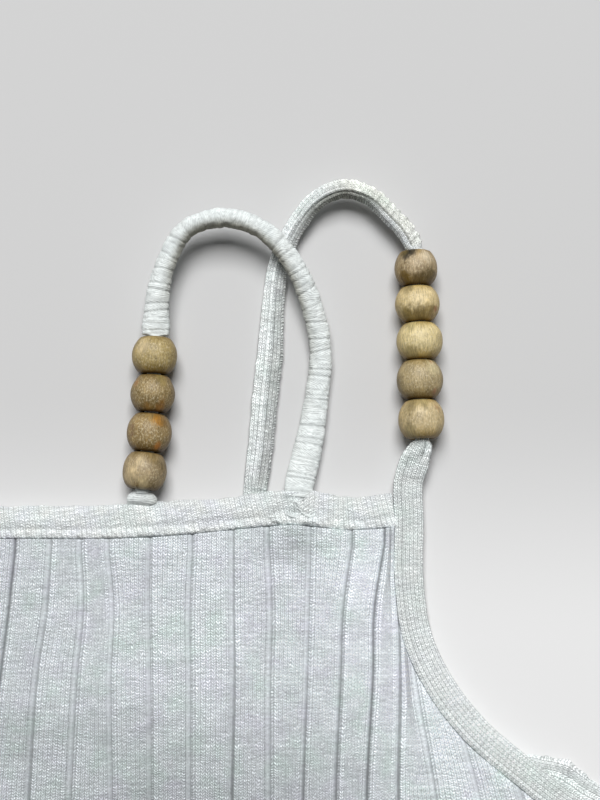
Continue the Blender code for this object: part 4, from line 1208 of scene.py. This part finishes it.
# Stains and knots, painted highlights on top of some beads, and painted shade on the lower
# end of some, by row and the bead's number: the place along the bead towards +Y and round
# it from the top towards the side seam in degrees, the radius, and the colour.
STAINS_AND_PAINTED_LIGHT = {
    ("inner", 1): ((1.8, -30, 2.6, (0.56, 0.45, 0.26)),),
    ("inner", 2): (
        (3.4, 30, 2.2, (0.27, 0.2, 0.07)), (-3.3, 34, 2, (0.31, 0.15, 0.03)),
        (-3.6, -10, 1.6, (0.22, 0.12, 0.03)), (2.4, -52, 1.2, (0.3, 0.15, 0.05))),
    ("inner", 3): (
        (3.4, 8, 2.2, (0.27, 0.18, 0.06)), (3.1, 30, 2.2, (0.36, 0.16, 0.015)),
        (2.6, 50, 1.9, (0.24, 0.13, 0.03)), (-3.4, 38, 1.3, (0.46, 0.17, 0.02)),
        (0.8, -48, 0.9, (0.2, 0.12, 0.06)), (-0.9, -44, 0.9, (0.2, 0.12, 0.06))),
    ("inner", 4): (
        (2.2, -10, 1.6, (0.62, 0.49, 0.28)), (-1.8, -36, 3.4, (0.56, 0.44, 0.25)),
        (-3.2, 4, 2.2, (0.5, 0.4, 0.22)), (3.6, 26, 2.6, (0.22, 0.155, 0.06)),
        (1.6, 58, 2.4, (0.17, 0.12, 0.05)), (4, -40, 1.6, (0.22, 0.155, 0.06))),
    ("outer", 5): (
        (2.9, -33, 2.1, (0.012, 0.01, 0.006)), (3.8, -14, 2, (0.015, 0.012, 0.006)),
        (3.6, -50, 1.8, (0.14, 0.1, 0.03)), (-2.7, -44, 3.2, (0.14, 0.08, 0.004)),
        (-3.6, 4, 2.6, (0.1, 0.065, 0.02)), (-2.9, 40, 3.4, (0.11, 0.075, 0.02)),
        (2.4, 30, 2.4, (0.62, 0.52, 0.36))),
    ("outer", 4): (
        (-2.8, -40, 3, (0.17, 0.12, 0.03)), (-3.4, 0, 3, (0.2, 0.14, 0.045)),
        (-2.6, 34, 2.8, (0.2, 0.14, 0.045)), (-2, 54, 1, (0.38, 0.16, 0.06)),
        (3.6, -34, 2.4, (0.26, 0.2, 0.09))),
    ("outer", 3): ((3.6, -30, 2.6, (0.4, 0.33, 0.15)), (-3.2, -30, 2.6, (0.42, 0.33, 0.14))),
    ("outer", 2): (
        (4, 38, 0.8, (0.42, 0.14, 0.05)), (2.6, 36, 2.6, (0.62, 0.53, 0.31)),
        (-3.4, 44, 1, (0.38, 0.18, 0.08))),
    ("outer", 1): (
        (3.4, -34, 3.2, (0.3, 0.23, 0.1)), (3.9, 6, 2.4, (0.34, 0.27, 0.12)),
        (-2.8, -40, 2.8, (0.34, 0.27, 0.13)), (2.6, 46, 1.1, (0.4, 0.24, 0.1)))}


def wood_material():
    """Pale turned wood: streaks along the bore, painted highlight of dry scuffs, darker pores."""
    material, tree, shader = new_material("bead wood")
    place = uv_place(tree, "turned")
    streaks = place.stretched(2600.0, 420.0, 1.0).noise(1.0, 4.0, 0.65)
    pores = place.stretched(3000.0, 1100.0, 1.0).noise().ranged(0.32, 0.44, 0.70, 1.0)
    clouds = place.noise(260.0, 3.0, 0.65)
    scuffs = place.stretched(2400.0, 1500.0, 1.0).noise(1.0, 3.0, 0.7)
    tone = (streaks * 1.7 + 0.15) * (clouds * 1.3 + 0.36) * pores
    colour = attribute(tree, "wood").tinted(tone)
    dry_highlight = scuffs.ranged(0.5, 0.66, 0.0, 0.65) * attribute(tree, "scuffed_and_highlit", "Fac")
    colour = mixed(dry_highlight, colour, (0.80, 0.69, 0.46, 1.0))
    give(shader, {"Base Color": colour, "Normal": bumped(scuffs * 0.7 + streaks, 0.7, 0.14),
                  "Roughness": scuffs * 0.4 + 0.26, "Specular IOR Level": 0.38})
    return material


BEAD_WOOD = wood_material()


def bead(name, row, number, centre, along, radius, length, wood):
    """A ball of the radius cut flat at both ends, its rims eased, turned on its bore.

    The ball's own radius along its axis is r = ball x cos(angle), and its two flats reach
    from the bore to BEAD_FLAT. A little unevenness keeps it from being a perfect ball.
    """
    reach = length / 2
    ball = reach / math.sqrt(1 - (BEAD_FLAT / radius) ** 2)
    tip = math.asin(reach / ball)
    angle = np.linspace(-tip, tip, BEAD_ARC_POINTS)[1:-1]
    flat, depth = BEAD_END.T
    run = np.concatenate([depth - reach, ball * np.sin(angle), reach - depth[::-1]])[:, None]
    out = np.concatenate([flat, radius * np.cos(angle) ** BEAD_BULGE, flat[::-1]])[:, None]
    turn = np.arange(BEAD_SEGMENTS) * 2 * math.pi / BEAD_SEGMENTS
    seed = sum(ord(letter) for letter in name)
    wobble = soft_noise(run, 4 * np.cos(turn) + 9, 3.5, 2.4, seed)
    wobble = wobble + 0.5 * soft_noise(run + 20, 4 * np.sin(turn), 2.5, 1.8, seed)
    out = out + BEAD_UNEVENNESS * np.clip((out - BEAD_FLAT) / 1.5, 0, 1) * (wobble - 1.0)
    sideways = np.array((along[1], -along[0]))
    level = centre + run[:, :, None] * along + (out * np.sin(turn))[:, :, None] * sideways
    points = np.dstack([level, radius + out * np.cos(turn)])
    index = np.arange(out.size).reshape(out.shape)
    below, beyond = np.roll(index, -1, axis=0), np.roll(index, -1, axis=1)
    faces = np.stack([index, beyond, np.roll(below, -1, axis=1), below], axis=2).reshape(-1, 4)
    item = new_piece(name, points.reshape(-1, 3) * MM, faces.tolist())

    shift = (WOOD_STEP * number + WOOD_STEP_OUTER * (row == "outer")
             + WOOD_STEP_LEFT * (centre[0] < 0))
    round_place = radius * np.minimum(turn, 2 * math.pi - turn) * np.where(turn > math.pi, -1, 1)
    places = np.stack([round_place + 0 * out, run + 0 * out], axis=2) + shift
    write_map(item, "turned", places.reshape(-1, 2) * MM)
    near_flat = np.clip((abs(run) / reach - 0.5) / 0.5, 0, 1) ** 1.5
    flank = np.clip((1 - np.cos(turn)) / 0.75, 0, 1) ** 1.5
    onward = 1 if along[1] > 0 else -1
    rightward = onward if centre[0] > 0 else -onward
    foot = np.clip((-onward * run / reach - 0.35) / 0.65, 0, 1)
    # Painted shade on the flanks and on the lower end, and darker wood near the flats.
    kept = (1 - RIM_DARKNESS * near_flat) * (1 - FLANK_DARKNESS * flank) * (
        1 - FOOT_DARKNESS * foot)
    colour = np.array(wood) * kept[:, :, None] ** DARK_TINT
    # Where the dry scuffs show as a painted highlight: on the top, not near the flats or flanks.
    scuffed_and_highlit = (1 - near_flat) * (1 - FLANK_HIGHLIGHT_LOSS * flank)
    ragged = 1 + PATCH_RAGGEDNESS * soft_noise(run, round_place, 0.7, 0.5, 77)
    for at, around, size, patch_colour in STAINS_AND_PAINTED_LIGHT.get((row, number), ()):
        from_middle = np.hypot(run - onward * at,
                               round_place - rightward * math.radians(around) * radius)
        share = np.clip(PATCH_EDGE * (1 - from_middle / (size * ragged)), 0, PATCH_MOST)
        colour = colour * (1 - share[:, :, None]) + np.array(patch_colour) * share[:, :, None]
        scuffed_and_highlit = scuffed_and_highlit * (1 - share)
    write_colour(item, "wood", colour.reshape(-1, 3))
    write_colour(item, "scuffed_and_highlit", scuffed_and_highlit.ravel())
    item.data.materials.append(BEAD_WOOD)
    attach(item, "root")
    return item


for side, word in SIDES:
    for row, table, woods in (("outer", OUTER_BEADS, OUTER_WOODS),
                              ("inner", INNER_BEADS, INNER_WOODS)):
        for number, (sizes, wood, centre, along) in enumerate(
                zip(table, woods, *bead_axes(table, side)), start=1):
            made = bead(f"turned_{row}_{word}_{number}", row, number, centre, along,
                        *sizes[2:], wood)
            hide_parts(f"bead_{row}_{word}_{number}")

# ---------------------------------------------------------------------------------------
# Stitches. Bleached thread: two rows round the hem on both panels, small bar tacks and a
# loop of loose thread where each inner strap is caught into the front binding.
# ---------------------------------------------------------------------------------------
THREAD_RADIUS = 0.17
STITCH_LENGTH = 2.5
STITCH_STEP = 3.0
HEM_ROWS = (12.0, 17.0)
STITCH_LIFT_ABOVE = 0.06
STITCH_LIFT_BELOW = 0.16
STITCH_FROM_SEAM = 3.0
ARMHOLE_INSET = 4.0
STITCH_SIDES = 6
STITCH_RINGS = np.array(((-1, 0.1), (-0.85, 0.65), (-0.4, 1), (0.4, 1), (0.85, 0.65), (1, 0.1)))


def thread_pieces(name, starts, ends, radius):
    """Many short lengths of thread, each a spindle from its start to its end."""
    middle, half = (starts + ends) / 2, (ends - starts) / 2
    along = unit(half)
    side = unit(np.cross((0.0, 0.0, 1.0), along))
    up = np.cross(along, side)
    angle = np.arange(STITCH_SIDES) * 2 * math.pi / STITCH_SIDES
    reach, swell = STITCH_RINGS.T[:, :, None, None]
    ring = radius * swell * (side[:, None, None] * np.cos(angle)[:, None]
                             + up[:, None, None] * np.sin(angle)[:, None])
    points = middle[:, None, None] + half[:, None, None] * reach + ring
    each = len(reach) * STITCH_SIDES
    first = np.arange(len(starts))[:, None, None] * each
    faces = [face for part in tube_faces(len(reach), STITCH_SIDES)
             for face in (part + first).reshape(-1, part.shape[1]).tolist()]
    item = new_piece(name, points.reshape(-1, 3) * MM, faces)
    write_map(item, "knit", points.reshape(-1, 3)[:, :2] * MM)
    write_colour(item, "tone", np.ones(len(item.data.vertices)))
    item.data.materials.append(WRAP_THREAD)
    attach(item, "root")
    return item


def surface_height(item, x, y, above):
    """Height of a cloth's face under each x, y place, found by a ray from that side."""
    way = Vector((0.0, 0.0, -1.0 if above else 1.0))
    start = 0.02 if above else -0.02
    found = []
    for px, py in zip(x, y):
        hit, place, _, _ = item.ray_cast(Vector((px * MM, py * MM, start)), way)
        found.append(place.z / MM if hit else np.nan)
    return np.array(found)


def hem_stitches(name, cloth, above):
    """Straight stitches in two rows, each end on the cloth and its middle just proud."""
    lift = STITCH_LIFT_ABOVE if above else STITCH_LIFT_BELOW
    starts, ends = [], []
    for height in HEM_ROWS:
        side_x = np.interp(HEM_Y + height, *side_edge(beside(ARMHOLE, -ARMHOLE_INSET, 2)))
        half_width = side_x - STITCH_FROM_SEAM
        x = np.arange(-half_width, half_width - STITCH_STEP, STITCH_STEP)
        y = np.full(len(x), HEM_Y + height)
        for found, at in ((starts, x), (ends, x + STITCH_LENGTH)):
            found.append(np.column_stack([at, y, surface_height(cloth, at, y, above) + lift]))
    return thread_pieces(name, np.vstack(starts), np.vstack(ends), THREAD_RADIUS)


bpy.context.view_layer.update()
hem_threads = [hem_stitches("hem_stitches_front", front_cloth, True),
               hem_stitches("hem_stitches_back", back_cloth, False)]

# Where each inner strap is caught down: single stitches, and a bent loop of loose thread.
# Both are x and y on the binding, for the right side.
TACK_RADIUS = 0.22
TACK_SINK = 0.04
TACKS = (
    (72.4, 154.7, 75.2, 154.8), (74.1, 153.7, 75.4, 154.1), (75.2, 154.1, 76.9, 153.6),
    (73.8, 152.4, 75.3, 151.8), (75.2, 151.8, 77.1, 152), (76.9, 152.1, 79, 152.4),
    (77.2, 153.6, 78.1, 152.3), (78.2, 154, 79.2, 152.5), (79.2, 154, 80.2, 152.6),
    (80.5, 154.3, 81.5, 152.7), (81.6, 154.4, 82.5, 153.1), (78, 155.4, 80.6, 154.6),
    (81.6, 157.9, 83.2, 158.9), (82, 157.2, 84.1, 158.4), (82.6, 156.5, 84.8, 157.8),
    (83.2, 155.9, 85.2, 157.1), (84, 155.6, 85.7, 156.6), (81, 158.6, 82.4, 159.4),
    (82.4, 160.2, 84, 161), (83.2, 159.6, 85, 160.6), (84.2, 159.2, 86, 160.2),
    (76.6, 158.9, 78, 159.3), (77.8, 159.3, 79.6, 158.7), (79.4, 158.8, 80.6, 157.8),
    (75, 158.3, 76.8, 158.9))
LOOP = (
    (79.9, 159), (80.8, 158.3), (81.2, 157), (82, 155.9), (83.1, 155.2), (84.3, 155), (85.3, 155.4))
LOOP_RADIUS = 0.26
LOOP_RISE = 0.104
LOOP_PITCH = 0.15
LOOP_SIDES = 16
LOOP_TWIST_PITCH = 1.1
# The twist's height, and its tone: painted light on its ridges, painted shade in its furrows.
LOOP_TWIST_HEIGHT, LOOP_TWIST_TONE = 0.07, 0.12


def tack(side, word):
    """The caught-down stitches and the loop at one strap, following the binding's face."""
    ends = np.array(TACKS).reshape(-1, 2, 2) * (side, 1)
    lengths = [np.column_stack([end, surface_height(front_neck, *end.T, True) - TACK_SINK])
               for end in (ends[:, 0], ends[:, 1])]
    thread_pieces(f"tack_stitches_{word}", *lengths, TACK_RADIUS)
    place = np.array(LOOP) * (side, 1)
    height = surface_height(front_neck, *place.T, True) + LOOP_RISE
    run = even_run([(x, y, z, LOOP_RADIUS, LOOP_RADIUS) for (x, y), z in zip(place, height)],
                   LOOP_PITCH)
    twist = np.sin(2 * ring_angles(LOOP_SIDES) + run[4][:, None] * 2 * math.pi / LOOP_TWIST_PITCH)
    loop = skin(f"tack_loop_{word}", run, *oval(LOOP_SIDES, 1), LOOP_TWIST_HEIGHT * twist,
                1 + LOOP_TWIST_TONE * twist)
    loop.data.materials.append(WRAP_THREAD)
    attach(loop, "root")


for side, word in SIDES:
    tack(side, word)

# ---------------------------------------------------------------------------------------
# Table, light and camera. A plain pale table, a large soft light from beyond the straps
# and a little to the left, and a camera almost straight above the right shoulder.
# ---------------------------------------------------------------------------------------
TABLE_Z = -0.0003
TABLE_NEAR, TABLE_FAR = (0.80, 0.80, 0.80, 1.0), (0.615, 0.615, 0.615, 1.0)
TABLE_SHADES_Y = (0.122, 0.19)
VIEW_POINT = Vector((0.08138, 0.1853, 0.002))
VIEW_DISTANCE = 0.460
VIEW_ELEVATION = math.radians(84.0)
VIEW_LENS = 79.6
LIGHT_WAY = Vector((-0.02, 0.54, 1.0)).normalized()
LIGHT_DISTANCE = 4.0
LIGHT_SIZE = 2.1
LIGHT_POWER = 188.0
ROOM_LIGHT = 0.07


def table_top():
    """A flat sheet of pale paper, with painted shade making it a little darker beyond the straps.
    """
    mesh = bpy.data.meshes.new("table")
    mesh.from_pydata([(x, y, TABLE_Z) for x, y in ((-3, -3), (3, -3), (3, 3), (-3, 3))],
                     [], [(0, 1, 2, 3)])
    item = bpy.data.objects.new("table", mesh)
    bpy.context.scene.collection.objects.link(item)
    material, tree, shader = new_material("table paper")
    share = object_place(tree).parts()[1].ranged(
        *TABLE_SHADES_Y, 0.0, 1.0, interpolation_type="SMOOTHSTEP")
    give(shader, {"Base Color": mixed(share, TABLE_NEAR, TABLE_FAR), "Roughness": 0.9,
                  "Specular IOR Level": 0.1})
    mesh.materials.append(material)


def facing(place, target):
    """A turned frame at the place whose -Z looks at the target, with +Y kept upwards."""
    look = (target - place).normalized()
    right = look.cross(Vector((0.0, 1.0, 0.0))).normalized()
    return Matrix.Translation(place) @ Matrix((right, right.cross(look), -look)).transposed(
    ).to_4x4()


table_top()
light_data = bpy.data.lights.new("window", "AREA")
light_data.shape = "SQUARE"
light_data.size = LIGHT_SIZE
light_data.energy = LIGHT_POWER
light = bpy.data.objects.new("window", light_data)
light.matrix_world = facing(VIEW_POINT + LIGHT_WAY * LIGHT_DISTANCE, VIEW_POINT)
bpy.context.scene.collection.objects.link(light)

world = bpy.data.worlds.new("room")
world.use_nodes = True
give(world.node_tree.nodes["Background"], {"Color": (1.0, 1.0, 1.0, 1.0), "Strength": ROOM_LIGHT})
bpy.context.scene.world = world
bpy.context.scene.view_settings.view_transform = "Standard"

camera_data = bpy.data.cameras.new("camera")
camera_data.sensor_fit = "VERTICAL"
camera_data.sensor_height = 36.0
camera_data.lens = VIEW_LENS
camera = bpy.data.objects.new("camera", camera_data)
way = Vector((0.0, -math.cos(VIEW_ELEVATION), math.sin(VIEW_ELEVATION)))
camera.matrix_world = facing(VIEW_POINT + way * VIEW_DISTANCE, VIEW_POINT)
bpy.context.scene.collection.objects.link(camera)
bpy.context.scene.camera = camera
